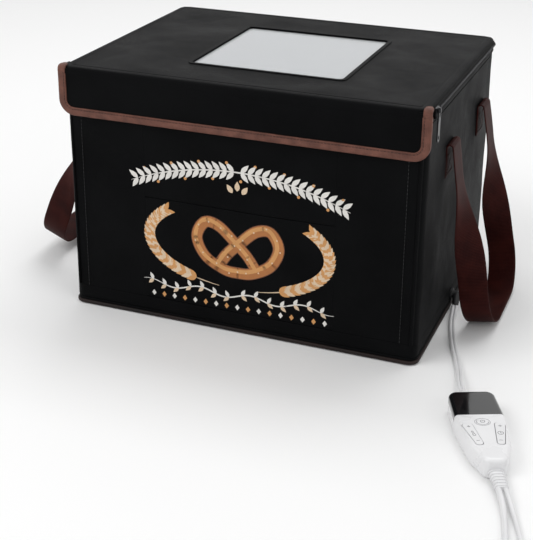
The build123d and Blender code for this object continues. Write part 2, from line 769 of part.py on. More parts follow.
def make_cords():
    inlet = ctrl_point(HEATER_U, CTRL_TOP_V + 14, RELIEF_Z)
    lay = HEATER_D / 2 + 0.1
    make_cord(
        "heater_cord",
        [
            HEATER_START,
            HEATER_START + HEATER_OUT * 11,
            (212.6, -38, lay), (217.5, -60, lay), (226.5, -92, lay), (238, -123, lay),
            (245, -145, 3.6), (250, -164, 6.8),
            inlet + CTRL_V * 17,
            inlet,
        ],
        HEATER_D,
    )
    lay = MAINS_D / 2 + 0.1
    start = ctrl_point(-LEAD_U, CTRL_LOW_V - LEAD_RELIEF, LEAD_Z)
    make_cord(
        "mains_cord",
        [
            start, start - CTRL_V * 11, (335, -364, 4.0),
            (340, -383, lay), (345.5, -408, lay), (350.5, -436, lay),
            (353, -467, lay),
        ],
        MAINS_D,
    )
    lay = SENSOR_D / 2 + 0.1
    start = ctrl_point(LEAD_U, CTRL_LOW_V - LEAD_RELIEF, LEAD_Z)
    make_cord(
        "sensor_cord",
        [
            start, start - CTRL_V * 11, (342, -361, 3.6),
            (350, -381, lay), (360, -409, lay), (371, -433, lay),
            (380, -449, lay), (387.5, -463, lay),
        ],
        SENSOR_D,
    )


def coil(centre, middle, width, height, name):
    with BuildPart() as ring:
        with BuildSketch(Plane.XZ):
            with Locations((middle, height / 2)):
                RectangleRounded(width, height, 2.2)
        revolve(axis=Axis.Z)
    ring.part.locate(Location((*centre, 0)))
    save(ring, name)


def make_coils_and_ends():
    coil(MAINS_COIL, 31, 27, 11, "mains_cord_coil")
    coil(SENSOR_COIL, 24, 14, 9, "sensor_cord_coil")

    plug_y, plug_x, plug_z = MAINS_COIL[1] - 31, MAINS_COIL[0] - 32, 9
    out = Plane(origin=(plug_x, plug_y, plug_z), x_dir=(0, 1, 0), z_dir=(-1, 0, 0))
    with BuildPart() as plug:
        with BuildSketch(out):
            Circle(3.4)
        with BuildSketch(out.offset(20)):
            Circle(5)
        loft()
        with BuildSketch(out.offset(20)):
            RectangleRounded(15, 13, 5)
        with BuildSketch(out.offset(30)):
            RectangleRounded(25, 17, 6)
        loft()
        with BuildSketch(out.offset(30)):
            RectangleRounded(25, 17, 6)
        extrude(amount=12)
        with BuildSketch(out.offset(42)):
            with Locations((6.35, 0), (-6.35, 0)):
                Rectangle(1.5, 6.3)
        extrude(amount=17)
    save(plug, "mains_plug")

    with BuildPart() as probe:
        tip = Plane(origin=(SENSOR_COIL[0] + 15, SENSOR_COIL[1] - 26.5, 2.9),
                    x_dir=(0, 1, 0), z_dir=(1, 0, 0))
        with BuildSketch(tip):
            Circle(2.8)
        extrude(amount=10)
        with BuildSketch(tip.offset(10)):
            Circle(2.4)
        extrude(amount=26)
        fillet(probe.faces().sort_by(Axis.X)[-1].edges(), 1.8)
    save(probe, "sensor_probe")


os.makedirs("parts", exist_ok=True)
make_base()
make_heating_mat()
make_grommet()
make_end_walls()
make_leaves()
make_rim()
make_lid()
make_flap()
make_zip_sliders()
make_straps()
make_rack()
make_controller_shells()
make_controller_inside()
make_keys()
make_reliefs()
make_cords()
make_coils_and_ends()
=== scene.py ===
import bmesh
import bpy
import json
from math import atan2, copysign, cos, degrees, pi, radians, sin, sqrt
from mathutils import Matrix, Vector, noise


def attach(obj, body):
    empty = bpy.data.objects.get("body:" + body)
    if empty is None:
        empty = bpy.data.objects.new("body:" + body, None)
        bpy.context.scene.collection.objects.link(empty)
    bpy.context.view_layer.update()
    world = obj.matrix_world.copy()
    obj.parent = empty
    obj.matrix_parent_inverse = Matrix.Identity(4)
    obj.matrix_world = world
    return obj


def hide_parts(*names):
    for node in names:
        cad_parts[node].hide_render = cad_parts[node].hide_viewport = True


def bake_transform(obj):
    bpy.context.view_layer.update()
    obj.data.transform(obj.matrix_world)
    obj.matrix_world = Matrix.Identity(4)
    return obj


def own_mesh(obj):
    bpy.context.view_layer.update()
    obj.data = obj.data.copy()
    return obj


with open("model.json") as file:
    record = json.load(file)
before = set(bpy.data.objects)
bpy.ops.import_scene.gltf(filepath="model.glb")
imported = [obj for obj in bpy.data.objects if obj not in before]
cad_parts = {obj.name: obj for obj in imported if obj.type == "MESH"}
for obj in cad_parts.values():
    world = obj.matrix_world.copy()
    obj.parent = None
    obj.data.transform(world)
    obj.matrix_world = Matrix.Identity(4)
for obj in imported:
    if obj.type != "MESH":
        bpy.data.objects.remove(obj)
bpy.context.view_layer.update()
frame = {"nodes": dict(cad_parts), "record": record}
NODES = frame["nodes"]
BODY_OF = {n: b for b, ns in frame["record"]["behaviour"]["bodies"].items() for n in ns}
SLOT_OF = {s["node"]: s["material_slot"] for s in frame["record"]["subparts"]}

# ---- measures, in millimetres: box, lid, flap, zip, straps, controller, leads ----
MM = 0.001
HALF_W, HALF_D = 200, 150
TRAY_TOP, CREASE, WALL_TOP = 24, 143, 262
RIM_LOW, RIM_TOP = 262.2, 274
PANEL, LEAF_HALF, CORNER_R = 4.2, 108, 10
LEAF_GAP = 0.3
SEAM_X, STITCH_X = 194, 182
LID_HALF_W, LID_FRONT, LID_REAR = 200.5, -157, 149.7
LID_LOW, LID_SKIN = 274.3, 281.2
WINDOW_AT, WINDOW_HALF = (7, -6), 85
FLAP_TOP, FLAP_BOTTOM, FLAP_HALF_W, FLAP_R = 273.7, 228, 203.5, 17
ZIP_HALF_L = 143
STRAP_W, STRAP_T = 32, 1.6
STRAP_FRONT, STRAP_REAR = -58, 90
STRAP_DROP, STRAP_FOOT_R = 217.5, 42
STRAP_LEAN = {"right": 10, "left": 23}
STRAP_PIVOT, STRAP_BEND = Vector((204.6, 0, 216)), 3.5
SEWN_LOW, SEWN_TOP = 183, 212.3
CTRL_TURN = radians(24)
CTRL_U = Vector((cos(CTRL_TURN), sin(CTRL_TURN), 0))
CTRL_V = Vector((-sin(CTRL_TURN), cos(CTRL_TURN), 0))
CTRL_O = Vector((295, -264, 0))
SHELL_TOP, KEY_TOP = 20.0, 20.72
HEATER_STRAND, MAINS_D, SENSOR_D = 3.7, 5.4, 4.4

SIDES = ((1, "right"), (-1, "left"))
FACES = ((-1, "front"), (1, "back"))
X, Y, Z = Vector((1, 0, 0)), Vector((0, 1, 0)), Vector((0, 0, 1))


def turned(angle):
    """Cosine and sine of an angle in degrees."""
    return cos(radians(angle)), sin(radians(angle))


def ease(share):
    return share * share * (3 - 2 * share)


def steps(start, end, size):
    """Even steps from start to end, about size apart."""
    count = max(1, round(abs(end - start) / size))
    return [start + (end - start) * k / count for k in range(count + 1)]


def metres(point):
    return [c * MM for c in point]


# ---- shader node groups and finishes ----
THREAD = 0.0011


class Net:
    """A node tree with short calls for adding and joining nodes."""

    def __init__(self, tree):
        self.tree = tree

    def add(self, kind, inputs=None, **settings):
        node = self.tree.nodes.new(kind)
        for key, value in settings.items():
            setattr(node, key, value)
        for key, value in (inputs or {}).items():
            self.feed(node.inputs[key], value)
        return node

    def feed(self, socket, value):
        if isinstance(value, bpy.types.NodeSocket):
            self.tree.links.new(value, socket)
        elif isinstance(value, bpy.types.Node):
            self.tree.links.new(value.outputs[0], socket)
        else:
            socket.default_value = value

    def maths(self, operation, a, b=0.0, c=0.0):
        return self.add("ShaderNodeMath", {0: a, 1: b, 2: c}, operation=operation).outputs[0]

    def spread(self, value, low, high, to_low=0.0, to_high=1.0):
        return self.add("ShaderNodeMapRange",
                        {0: value, 1: low, 2: high, 3: to_low, 4: to_high}).outputs[0]

    def cloud(self, place, scale, detail=2.0, roughness=0.5, distortion=0.0):
        return self.add("ShaderNodeTexNoise", {"Vector": place, "Scale": scale, "Detail": detail,
                                               "Roughness": roughness, "Distortion": distortion}).outputs[0]

    def use(self, tree, **inputs):
        return self.add("ShaderNodeGroup", inputs, node_tree=tree).outputs[0]


def group(name, inputs, result="Value"):
    """A node group with one value out; returns its net, its given sockets and a call that ends it."""
    tree = bpy.data.node_groups.new(name, "ShaderNodeTree")
    for label, value in inputs.items():
        kind = "NodeSocketVector" if value is None else "NodeSocketFloat"
        socket = tree.interface.new_socket(label, in_out="INPUT", socket_type=kind)
        if value is not None:
            socket.default_value = value
    tree.interface.new_socket(result, in_out="OUTPUT", socket_type="NodeSocketFloat")
    net = Net(tree)
    given, out = net.add("NodeGroupInput"), net.add("NodeGroupOutput")

    def ended(value):
        net.feed(out.inputs[result], value)
        return tree

    return net, given.outputs, ended


def weave_group():
    """Threads over and under each other, the same on all three faces of a box."""
    net, given, ended = group("woven threads", {"Vector": None, "Pitch": THREAD}, "Height")
    axes = net.add("ShaderNodeSeparateXYZ", {0: given["Vector"]})
    turns = net.maths("DIVIDE", 2 * pi, given["Pitch"])
    waves = [net.maths("SINE", net.maths("MULTIPLY", axes.outputs[k], turns)) for k in range(3)]
    total = 0.0
    for a, b in ((0, 1), (1, 2), (2, 0)):
        total = net.maths("MULTIPLY_ADD", waves[a], waves[b], total)
    return ended(total)


def mottle_group():
    """Slow uneven patches, as cloth and moulded parts have, as a value round a half."""
    net, given, ended = group("uneven patches", {"Vector": None, "Size": 0.06, "Detail": 3.0})
    scale = net.maths("DIVIDE", 1.0, given["Size"])
    return ended(net.cloud(given["Vector"], scale, given["Detail"]))


def crease_group():
    """Soft long creases with a few sharp ones, as a height."""
    net, given, ended = group("soft creases", {"Vector": None, "Size": 0.05}, "Height")
    scale = net.maths("DIVIDE", 1.0, given["Size"])
    bend = net.cloud(given["Vector"], scale, distortion=0.6)
    cells = net.add("ShaderNodeTexVoronoi", {"Vector": given["Vector"], "Scale": scale},
                    feature="DISTANCE_TO_EDGE")
    return ended(net.maths("MULTIPLY_ADD", net.spread(cells, 0.0, 0.12), 0.3, bend))


def grain_group():
    """Fine grain, rubbing marks or wrinkles, as a value round a half."""
    net, given, ended = group("fine grain", {"Vector": None, "Scale": 1800.0, "Detail": 2.0,
                                             "Roughness": 0.5})
    return ended(net.cloud(given["Vector"], given["Scale"], given["Detail"], given["Roughness"]))


WEAVE, MOTTLE, CREASES, GRAIN = weave_group(), mottle_group(), crease_group(), grain_group()
LOOK = {}


class Finish(Net):
    """A Principled finish, kept under its name in LOOK."""

    def __init__(self, name, colour, roughness, **sockets):
        material = LOOK[name] = bpy.data.materials.new(name)
        material.use_nodes = True
        material.node_tree.nodes.clear()
        super().__init__(material.node_tree)
        self.colour, self.roughness = colour, roughness
        self.shader = self.add("ShaderNodeBsdfPrincipled",
                               {"Base Color": (*colour, 1.0), "Roughness": roughness})
        for key, value in sockets.items():
            self.feed(self.shader.inputs[key.replace("_", " ")], value)
        self.add("ShaderNodeOutputMaterial", {0: self.shader})
        self.place = self.add("ShaderNodeTexCoord").outputs["Object"]

    def tint(self, factor, dark, light=None):
        """Colours from dark to light; dark may be a share of light, which is the finish's own colour."""
        light = light or self.colour
        if isinstance(dark, float):
            dark = tuple(c * dark for c in light)
        # sockets 6 and 7 are the two colours, and output 2 is the mixed one
        mix = self.add("ShaderNodeMix", {0: factor, 6: (*dark, 1), 7: (*light, 1)}, data_type="RGBA")
        self.feed(self.shader.inputs["Base Color"], mix.outputs[2])

    def gloss(self, tone, less, more):
        self.feed(self.shader.inputs["Roughness"],
                  self.spread(tone, 0.3, 0.7, self.roughness - less, self.roughness + more))

    def bump(self, height, distance, strength=1.0, under=None):
        node = self.add("ShaderNodeBump", {"Height": height, "Distance": distance, "Strength": strength})
        if under is not None:
            self.feed(node.inputs["Normal"], under)
        self.feed(self.shader.inputs["Normal"], node)
        return node


def cloth(name, colour, worn, roughness=0.7, pitch=THREAD, relief=0.00012, patch=0.07, **sockets):
    """Woven fabric: threads, slow patches of tone, and soft creases."""
    look = Finish(name, colour, roughness, **sockets)
    tone = look.use(MOTTLE, Vector=look.place, Size=patch)
    threads = look.use(WEAVE, Vector=look.place, Pitch=pitch)
    look.tint(look.maths("MULTIPLY_ADD", threads, 0.08, look.spread(tone, 0.35, 0.7)), colour, worn)
    look.gloss(tone, 0.07, 0.07)
    folds = look.bump(look.use(CREASES, Vector=look.place, Size=patch), 0.0012, 0.5)
    look.bump(threads, relief, 0.6, folds)


def webbing(name, dark, light, rib=1.7, row=1.6):
    """Strap webbing: fine ribs across it, laid out in millimetres on the strap's own map."""
    look = Finish(name, light, 0.5, Specular_IOR_Level=0.06, Sheen_Weight=0.006, Sheen_Roughness=0.4,
                  Sheen_Tint=(0.9, 0.5, 0.4, 1))
    axes = look.add("ShaderNodeSeparateXYZ", {0: look.add("ShaderNodeUVMap", uv_map="strap")}).outputs
    rows, ribs = (look.maths("SINE", look.maths("MULTIPLY", axis, 2 * pi / pitch))
                  for axis, pitch in ((axes[0], row), (axes[1], rib)))
    knit = look.maths("MULTIPLY_ADD", rows, 0.35, ribs)
    shade = look.maths("MULTIPLY_ADD", knit, 0.16, look.use(MOTTLE, Vector=look.place, Size=0.02))
    look.tint(look.spread(shade, 0.2, 0.85), dark, light)
    look.bump(knit, 0.00022, 0.7)


def foil(name, colour, roughness):
    """Silver foil on thin foam: small quilted dimples and fine wrinkles."""
    look = Finish(name, colour, roughness, Metallic=0.85)
    wrinkles = look.use(GRAIN, Vector=look.place, Scale=55.0, Detail=5.0, Roughness=0.6)
    dimples = look.use(WEAVE, Vector=look.place, Pitch=0.009)
    look.gloss(wrinkles, 0.06, 0.12)
    look.tint(look.spread(wrinkles, 0.3, 0.7), 0.82)
    look.bump(wrinkles, 0.0011, 0.55, look.bump(dimples, 0.0006, 0.5))


def moulded(name, colour, roughness=0.3, grain=0.00002, **sockets):
    """Moulded plastic or rubber: even colour with slight patches of gloss and a fine grain."""
    look = Finish(name, colour, roughness, **sockets)
    tone = look.use(MOTTLE, Vector=look.place, Size=0.03)
    look.tint(look.spread(tone, 0.3, 0.7), 0.94)
    look.gloss(tone, 0.03, 0.05)
    look.bump(look.use(GRAIN, Vector=look.place), grain, 0.5)


def metal(name, colour, roughness):
    """Plated or lacquered metal with faint rubbing marks."""
    look = Finish(name, colour, roughness, Metallic=1.0)
    marks = look.use(GRAIN, Vector=look.place, Scale=900.0, Detail=4.0)
    look.gloss(marks, 0.04, 0.08)
    look.tint(look.spread(marks, 0.3, 0.7), 0.85)
    look.bump(marks, 0.00002, 0.3)


def clear_film(name):
    """A clear flexible film that reflects more towards its edges."""
    look = Finish(name, (0.86, 0.88, 0.9), 0.06)
    look.bump(look.cloud(look.place, 14.0, 1.0), 0.0006, 0.2)
    rim = look.add("ShaderNodeFresnel", {"IOR": 1.45})
    look.feed(look.shader.inputs["Alpha"], look.spread(rim, 0.03, 0.5, 0.12, 0.55))


def printed(name, colour):
    """Screen print on cloth: flat ink that takes the threads under it."""
    look = Finish(name, colour, 0.6)
    threads = look.use(WEAVE, Vector=look.place, Pitch=THREAD)
    tone = look.use(MOTTLE, Vector=look.place, Size=0.015)
    look.tint(look.maths("MULTIPLY_ADD", threads, 0.1, look.spread(tone, 0.3, 0.7)), 0.86)
    look.bump(threads, 0.00008, 0.5)


# the slots' finishes
cloth("shell_fabric", (0.0018, 0.0019, 0.0022), (0.0036, 0.0038, 0.0042), 0.5,
      Specular_IOR_Level=0.035, Sheen_Weight=0.004, Sheen_Roughness=0.5)
cloth("trim_binding", (0.095, 0.032, 0.020), (0.17, 0.066, 0.045), 0.55, 0.0016, 0.0003, 0.012,
      Specular_IOR_Level=0.35)
webbing("strap_webbing", (0.013, 0.0018, 0.0018), (0.046, 0.0085, 0.0062))
foil("foil_lining", (0.78, 0.79, 0.80), 0.34)
foil("heating_pad", (0.70, 0.71, 0.72), 0.4)
moulded("stiffener_board", (0.28, 0.28, 0.27), 0.55, 0.00005)
cloth("zip_tape", (0.003, 0.003, 0.0033), (0.008, 0.008, 0.0085), 0.7, 0.0008, Specular_IOR_Level=0.12)
cloth("closure_tape", (0.006, 0.006, 0.006), (0.016, 0.016, 0.016), 0.9, 0.0012, 0.0005)
metal("zip_metal", (0.035, 0.035, 0.038), 0.3)
clear_film("window_film")
metal("rack_wire", (0.62, 0.62, 0.63), 0.16)
moulded("controller_shell", (0.80, 0.80, 0.81), 0.28, Coat_Weight=0.2, Coat_Roughness=0.15)
moulded("display_window", (0.006, 0.006, 0.007), 0.07, 0.000004, Coat_Weight=0.5, Coat_Roughness=0.04)
moulded("keys", (0.78, 0.78, 0.79), 0.36)
moulded("circuit_board", (0.03, 0.16, 0.07), 0.4)
metal("screw_steel", (0.48, 0.48, 0.5), 0.3)
moulded("cord_jacket", (0.76, 0.76, 0.77), 0.42, 0.00003)
moulded("plug_body", (0.78, 0.78, 0.79), 0.33)
metal("probe_steel", (0.58, 0.58, 0.6), 0.22)
# threads, marks and inks, which are no slot of their own
cloth("piping_dark", (0.004, 0.003, 0.003), (0.016, 0.006, 0.0045), 0.55, 0.0014, Specular_IOR_Level=0.25)
moulded("bush_rubber", (0.010, 0.010, 0.011), 0.55, Specular_IOR_Level=0.3)
moulded("mark_grey", (0.16, 0.16, 0.17), 0.5)
moulded("thread_dark", (0.03, 0.012, 0.009), 0.7)
moulded("thread_black", (0.010, 0.010, 0.011), 0.6)
printed("print_white", (0.78, 0.76, 0.72))
printed("print_cream", (0.72, 0.55, 0.38))
printed("print_crust", (0.42, 0.155, 0.040))
printed("print_gold", (0.62, 0.30, 0.10))
printed("print_dark", (0.14, 0.045, 0.016))


# ---- mesh helpers ----
def linked(name, data):
    obj = bpy.data.objects.new(name, data)
    bpy.context.scene.collection.objects.link(obj)
    return obj


def settle(mesh, sharp=35.0, outward=True):
    """Merges doubles, points faces outwards and shades smooth up to an angle."""
    work = bmesh.new()
    work.from_mesh(mesh)
    bmesh.ops.remove_doubles(work, verts=work.verts, dist=2e-6)
    if outward:
        bmesh.ops.recalc_face_normals(work, faces=work.faces)
    work.to_mesh(mesh)
    work.free()
    mesh.shade_smooth()
    mesh.set_sharp_from_angle(angle=radians(sharp))


def place_piece(name, mesh, slot=None, body=None, node=None, ink=None):
    """An object with the finish of its slot or its ink, riding on its body and standing for its node."""
    obj = linked(name, mesh)
    mesh.materials.clear()
    mesh.materials.append(LOOK[ink or slot])
    if body:
        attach(obj, body)
    if node:
        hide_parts(node)
    return obj


def piece(name, form, slot=None, body=None, node=None, ink=None, sharp=35.0, outward=True):
    """A piece from (points in millimetres, faces)."""
    mesh = bpy.data.meshes.new(name)
    mesh.from_pydata([metres(v) for v in form[0]], [], form[1])
    settle(mesh, sharp, outward)
    return place_piece(name, mesh, slot, body, node, ink)


def cloth_piece(name, form, body=None, node=None):
    return piece(name, form, "shell_fabric", body, node)


def lattice(rows, caps=()):
    """Faces between rows of points; each row in caps, a closed ring, gets a face of its own."""
    cols = len(rows[0])
    faces = [(i * cols + j, i * cols + j + 1, (i + 1) * cols + j + 1, (i + 1) * cols + j)
             for i in range(len(rows) - 1) for j in range(cols - 1)]
    faces += [tuple(row * cols + n for n in range(cols - 1)) for row in caps]
    return [p for row in rows for p in row], faces


def joined(parts):
    """Several (verts, faces) as one."""
    verts, faces = [], []
    for part_verts, part_faces in parts:
        base = len(verts)
        verts += list(part_verts)
        faces += [tuple(base + k for k in face) for face in part_faces]
    return verts, faces


def shell(outer, inner):
    """Faces of a closed skin between two matching grids of points."""
    rows, cols = len(outer), len(outer[0])
    verts, front = lattice(outer)
    back = len(verts)
    faces = []
    for quad in front:
        faces += [quad, tuple(back + k for k in reversed(quad))]
    sides = [(i * cols + j, (i + 1) * cols + j) for i in range(rows - 1) for j in (0, cols - 1)]
    ends = [(i * cols + j, i * cols + j + 1) for j in range(cols - 1) for i in (0, rows - 1)]
    faces += [(a, b, back + b, back + a) for a, b in sides + ends]
    return verts + [p for row in inner for p in row], faces


def grid(us, vs, point):
    """Rows of points, one row for each u."""
    return [[Vector(point(u, v)) for v in vs] for u in us]


def moved(rows, change):
    """The same rows with each point changed."""
    return [[Vector(change(p)) for p in row] for row in rows]


def dressed(node, bevel=0.0, sharp=35.0, ink=None):
    """A smooth-shaded copy of a CAD node, with a small rounded edge, standing for it."""
    mesh = NODES[node].data.copy()
    settle(mesh, sharp, outward=False)
    obj = place_piece(node + "_made", mesh, SLOT_OF[node], BODY_OF[node], node, ink)
    if bevel:
        rounding = obj.modifiers.new("rounding", "BEVEL")
        rounding.width, rounding.segments = bevel * MM, 2
        rounding.limit_method, rounding.angle_limit = "ANGLE", radians(40)
        rounding.harden_normals = True
    return obj


def heading(points, k):
    """The way along a line at its point k."""
    return (points[min(k + 1, len(points) - 1)] - points[max(k - 1, 0)]).normalized()


def tube(points, radius, sides=12):
    """A round rod along a line, closed at both ends."""
    rows = []
    for k, at in enumerate(points):
        ahead = heading(points, k)
        wide = Z.cross(ahead).normalized()
        tall = ahead.cross(wide)
        ways = [turned(360 * (n % sides) / sides) for n in range(sides + 1)]
        rows.append([at + wide * c * radius + tall * s * radius for c, s in ways])
    return lattice(rows, (0, len(rows) - 1))


# ---- camera, lamps and floor ----
def make_camera():
    picture, sensor = 540, 36
    focal, shift, azimuth, elevation, roll = 1227.82, -70, 21.26, 21.93, -0.51
    eye = Vector((461.0, -1250.65, 636.79)) * MM
    (ca, sa), (ce, se) = turned(azimuth), turned(elevation)
    data = bpy.data.cameras.new("camera")
    data.sensor_width = sensor
    data.lens, data.shift_y = focal * sensor / picture, shift / picture
    data.clip_start, data.clip_end = 0.01, 50
    camera = linked("camera", data)
    turn = Vector((-sa * ce, ca * ce, -se)).to_track_quat("-Z", "Y")
    turn = turn @ Matrix.Rotation(radians(-roll), 3, "Z").to_quaternion()
    camera.matrix_world = Matrix.LocRotScale(eye, turn, None)
    bpy.context.scene.camera = camera


def make_lamps():
    aim = Vector((0, 0, 0.1))
    for name, at, size, power in (("key", (-1.3, -1.5, 2.1), (1.4, 1.4), 24),
                                  ("fill", (1.9, -1.2, 1.2), (1.2, 1.2), 6),
                                  ("top", (0.1, 0.9, 2.3), (1.8, 1.0), 20)):
        data = bpy.data.lights.new(f"{name}_lamp", "AREA")
        data.shape, data.size, data.size_y = "RECTANGLE", *size
        data.energy = power
        turn = (aim - Vector(at)).to_track_quat("-Z", "Y")
        linked(f"{name}_lamp", data).matrix_world = Matrix.LocRotScale(Vector(at), turn, None)


def make_studio(plain_light=0.62, seen_light=1.0, half=6.0):
    """A white room: white where it is seen or mirrored, dimmer where it only lights."""
    world = bpy.data.worlds.new("studio")
    world.use_nodes = True
    world.node_tree.nodes.clear()
    net = Net(world.node_tree)
    ray = net.add("ShaderNodeLightPath").outputs
    seen = net.maths("MAXIMUM", ray["Is Camera Ray"], ray["Is Transmission Ray"])
    seen = net.maths("MAXIMUM", seen, ray["Is Glossy Ray"])
    plain, white = (net.add("ShaderNodeBackground", {0: (1, 1, 1, 1), 1: light})
                    for light in (plain_light, seen_light))
    net.add("ShaderNodeOutputWorld", {0: net.add("ShaderNodeMixShader", {0: seen, 1: plain, 2: white})})
    bpy.context.scene.world = world
    bpy.context.scene.view_settings.view_transform = "Standard"
    paper = Finish("floor_paper", (0.9, 0.9, 0.9), 0.9)
    paper.bump(paper.cloud(paper.place, 400.0), 0.0001, 0.1)
    mesh = bpy.data.meshes.new("floor")
    mesh.from_pydata([(-half, -half, 0), (half, -half, 0), (half, half, 0), (-half, half, 0)],
                     [], [(0, 1, 2, 3)])
    mesh.materials.append(LOOK["floor_paper"])
    linked("floor", mesh)


make_camera()
make_lamps()
make_studio()


# ---- cords ----
def ctrl_point(u, v, z):
    return CTRL_O + CTRL_U * u + CTRL_V * v + Z * z


HEATER_OUT = Vector((0.12, -0.93, -0.35)).normalized()
HEATER_START = Vector((207, 4, 14)) + HEATER_OUT * 17
HEATER_IN = ctrl_point(-4, 75, 10)
HEATER_ROUTE = [
    HEATER_START, HEATER_START + HEATER_OUT * 11,
    (212.6, -38, 2.8), (217.5, -60, 2.8), (226.5, -92, 2.8), (238, -123, 2.8),
    (245, -145, 3.6), (250, -164, 6.8), HEATER_IN + CTRL_V * 17, HEATER_IN,
]
MAINS_START, SENSOR_START = ctrl_point(-3.3, -83, 6.5), ctrl_point(3.3, -83, 6.5)
MAINS_ROUTE = [
    MAINS_START, MAINS_START - CTRL_V * 11, (335, -364, 4.0),
    (340, -383, 2.8), (345.5, -408, 2.8), (350.5, -436, 2.8), (353, -467, 2.8),
]
SENSOR_ROUTE = [
    SENSOR_START, SENSOR_START - CTRL_V * 11, (342, -361, 3.6),
    (350, -381, 2.3), (360, -409, 2.3), (371, -433, 2.3), (380, -449, 2.3), (387.5, -463, 2.3),
]
COIL_STEPS = 14


def route_curve(name, points, bevel):
    """A smooth curve with those points, in millimetres, as its control points."""
    curve = bpy.data.curves.new(name, "CURVE")
    curve.dimensions = "3D"
    spline = curve.splines.new("NURBS")
    spline.points.add(len(points) - 1)
    for control, point in zip(spline.points, points):
        control.co = (*metres(point), 1)
    spline.order_u, spline.use_endpoint_u, spline.resolution_u = 3, True, 12
    curve.bevel_depth, curve.bevel_resolution, curve.use_fill_caps = bevel * MM, 5, True
    return linked(name, curve)


def coil_turns(centre, start, laps, turning):
    """Points of a round coil: one (radius, height) for each lap, with a slide from lap to lap."""
    points = []
    for (radius, height), (next_radius, next_height) in zip(laps, laps[1:] + laps[-1:]):
        for k in range(COIL_STEPS):
            share = k / COIL_STEPS
            slide = ease(max(0.0, (share - 0.6) / 0.4))
            c, s = turned(start + turning * 360 * share)
            reach = radius + (next_radius - radius) * slide
            points.append((centre[0] + reach * c, centre[1] + reach * s,
                           height + (next_height - height) * slide))
    return points


def line_of(curve):
    """The points that a route's own spline runs through, in millimetres."""
    bare = curve.copy()
    bare.data = curve.data.copy()
    bare.data.bevel_depth = 0
    mesh = bpy.data.meshes.new_from_object(bare)
    points = [Vector(v.co) / MM for v in mesh.vertices]
    bpy.data.objects.remove(bare)
    bpy.data.meshes.remove(mesh)
    return points


def make_heater_lead():
    """A flat twin lead from the box to the controller: two strands side by side."""
    guide = route_curve("heater_guide", HEATER_ROUTE, 0)
    line = line_of(guide)
    bpy.data.objects.remove(guide)
    strands = []
    for side in (1, -1):
        apart = side * HEATER_STRAND * 0.96 / 2
        middle = [at + Z.cross(heading(line, k)).normalized() * apart for k, at in enumerate(line)]
        strands.append(tube(middle, HEATER_STRAND / 2))
    lead = piece("heater_lead", joined(strands), "cord_jacket", "base", "heater_cord")
    metres(line[0])
    [metres(p) for p in line]


def coil_tie(name, centre, angle, reach, high, width):
    """A wrapped tie round the turns of a coil."""
    c, s = turned(angle)
    out, along = Vector((c, s, 0)), Vector((-s, c, 0))
    mid = Vector((*centre, 0)) + out * (reach[0] + reach[1]) / 2
    half, tall = (reach[1] - reach[0]) / 2 + 1.0, high / 2 + 0.6
    outer, inner = [], []
    for step in steps(-width / 2, width / 2, width / 4):
        bulge = 0.4 * (1 - (2 * step / width) ** 2)
        for rows, grow in ((outer, bulge), (inner, -0.8)):
            row = []
            for n in range(29):
                c, s = turned(360 * (n % 28) / 28)
                x = (half + grow) * copysign(abs(c) ** 0.5, c)
                z = high / 2 + (tall + grow) * copysign(abs(s) ** 0.5, s)
                row.append(mid + out * x + along * step + Z * max(z, 0.15 if grow > 0 else 0.6))
            rows.append(row)
    return piece(name, shell(outer, inner), "cord_jacket", "base", ink="thread_black")


def make_wound_lead(kind, route, centre, start, laps, turning, tail, diameter, tie):
    """A lead that runs along its route, winds up in its coil and ends in its plug or probe."""
    wrapped = coil_tie(f"{kind}_tie", centre, *tie)
    cord = route_curve(f"{kind}_lead", route + coil_turns(centre, start, laps, turning) + tail, diameter / 2)
    cord.data.materials.append(LOOK["cord_jacket"])
    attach(cord, "base")
    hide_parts(f"{kind}_cord", f"{kind}_cord_coil")
    line = line_of(cord)
    metres(line[0])


def make_cords():
    make_heater_lead()
    low = MAINS_D / 2 + 0.1
    high = low + MAINS_D * 0.92
    laps = [(r, low) for r in (41.8, 36.4, 31.0, 25.6)] + [(r, high) for r in (28.2, 33.6, 39.0)]
    tail = [(357, -518, high), (345, -534, 9), (327, -537, 9.6), (308, -532.5, 9.4),
            (298, -531, 9), (289, -531, 9)]
    make_wound_lead("mains", MAINS_ROUTE, (322, -500), 35, laps, -1, tail, MAINS_D,
                    (80, (20.5, 47), 2 * MAINS_D + 0.4, 9))
    low = SENSOR_D / 2 + 0.1
    high = low + SENSOR_D * 0.95
    laps = [(r, low) for r in (28.6, 24.2, 19.8)] + [(r, high) for r in (22.0, 26.4)]
    tail = [(387, -470, high), (388.5, -487, 6.0), (397, -500, 4.2), (411, -504.5, 2.9),
            (420, -504.5, 2.9), (429, -504.5, 2.9)]
    make_wound_lead("sensor", SENSOR_ROUTE, (414, -478), 150, laps, 1, tail, SENSOR_D,
                    (60, (16.5, 31.5), 2 * SENSOR_D, 7))


make_cords()


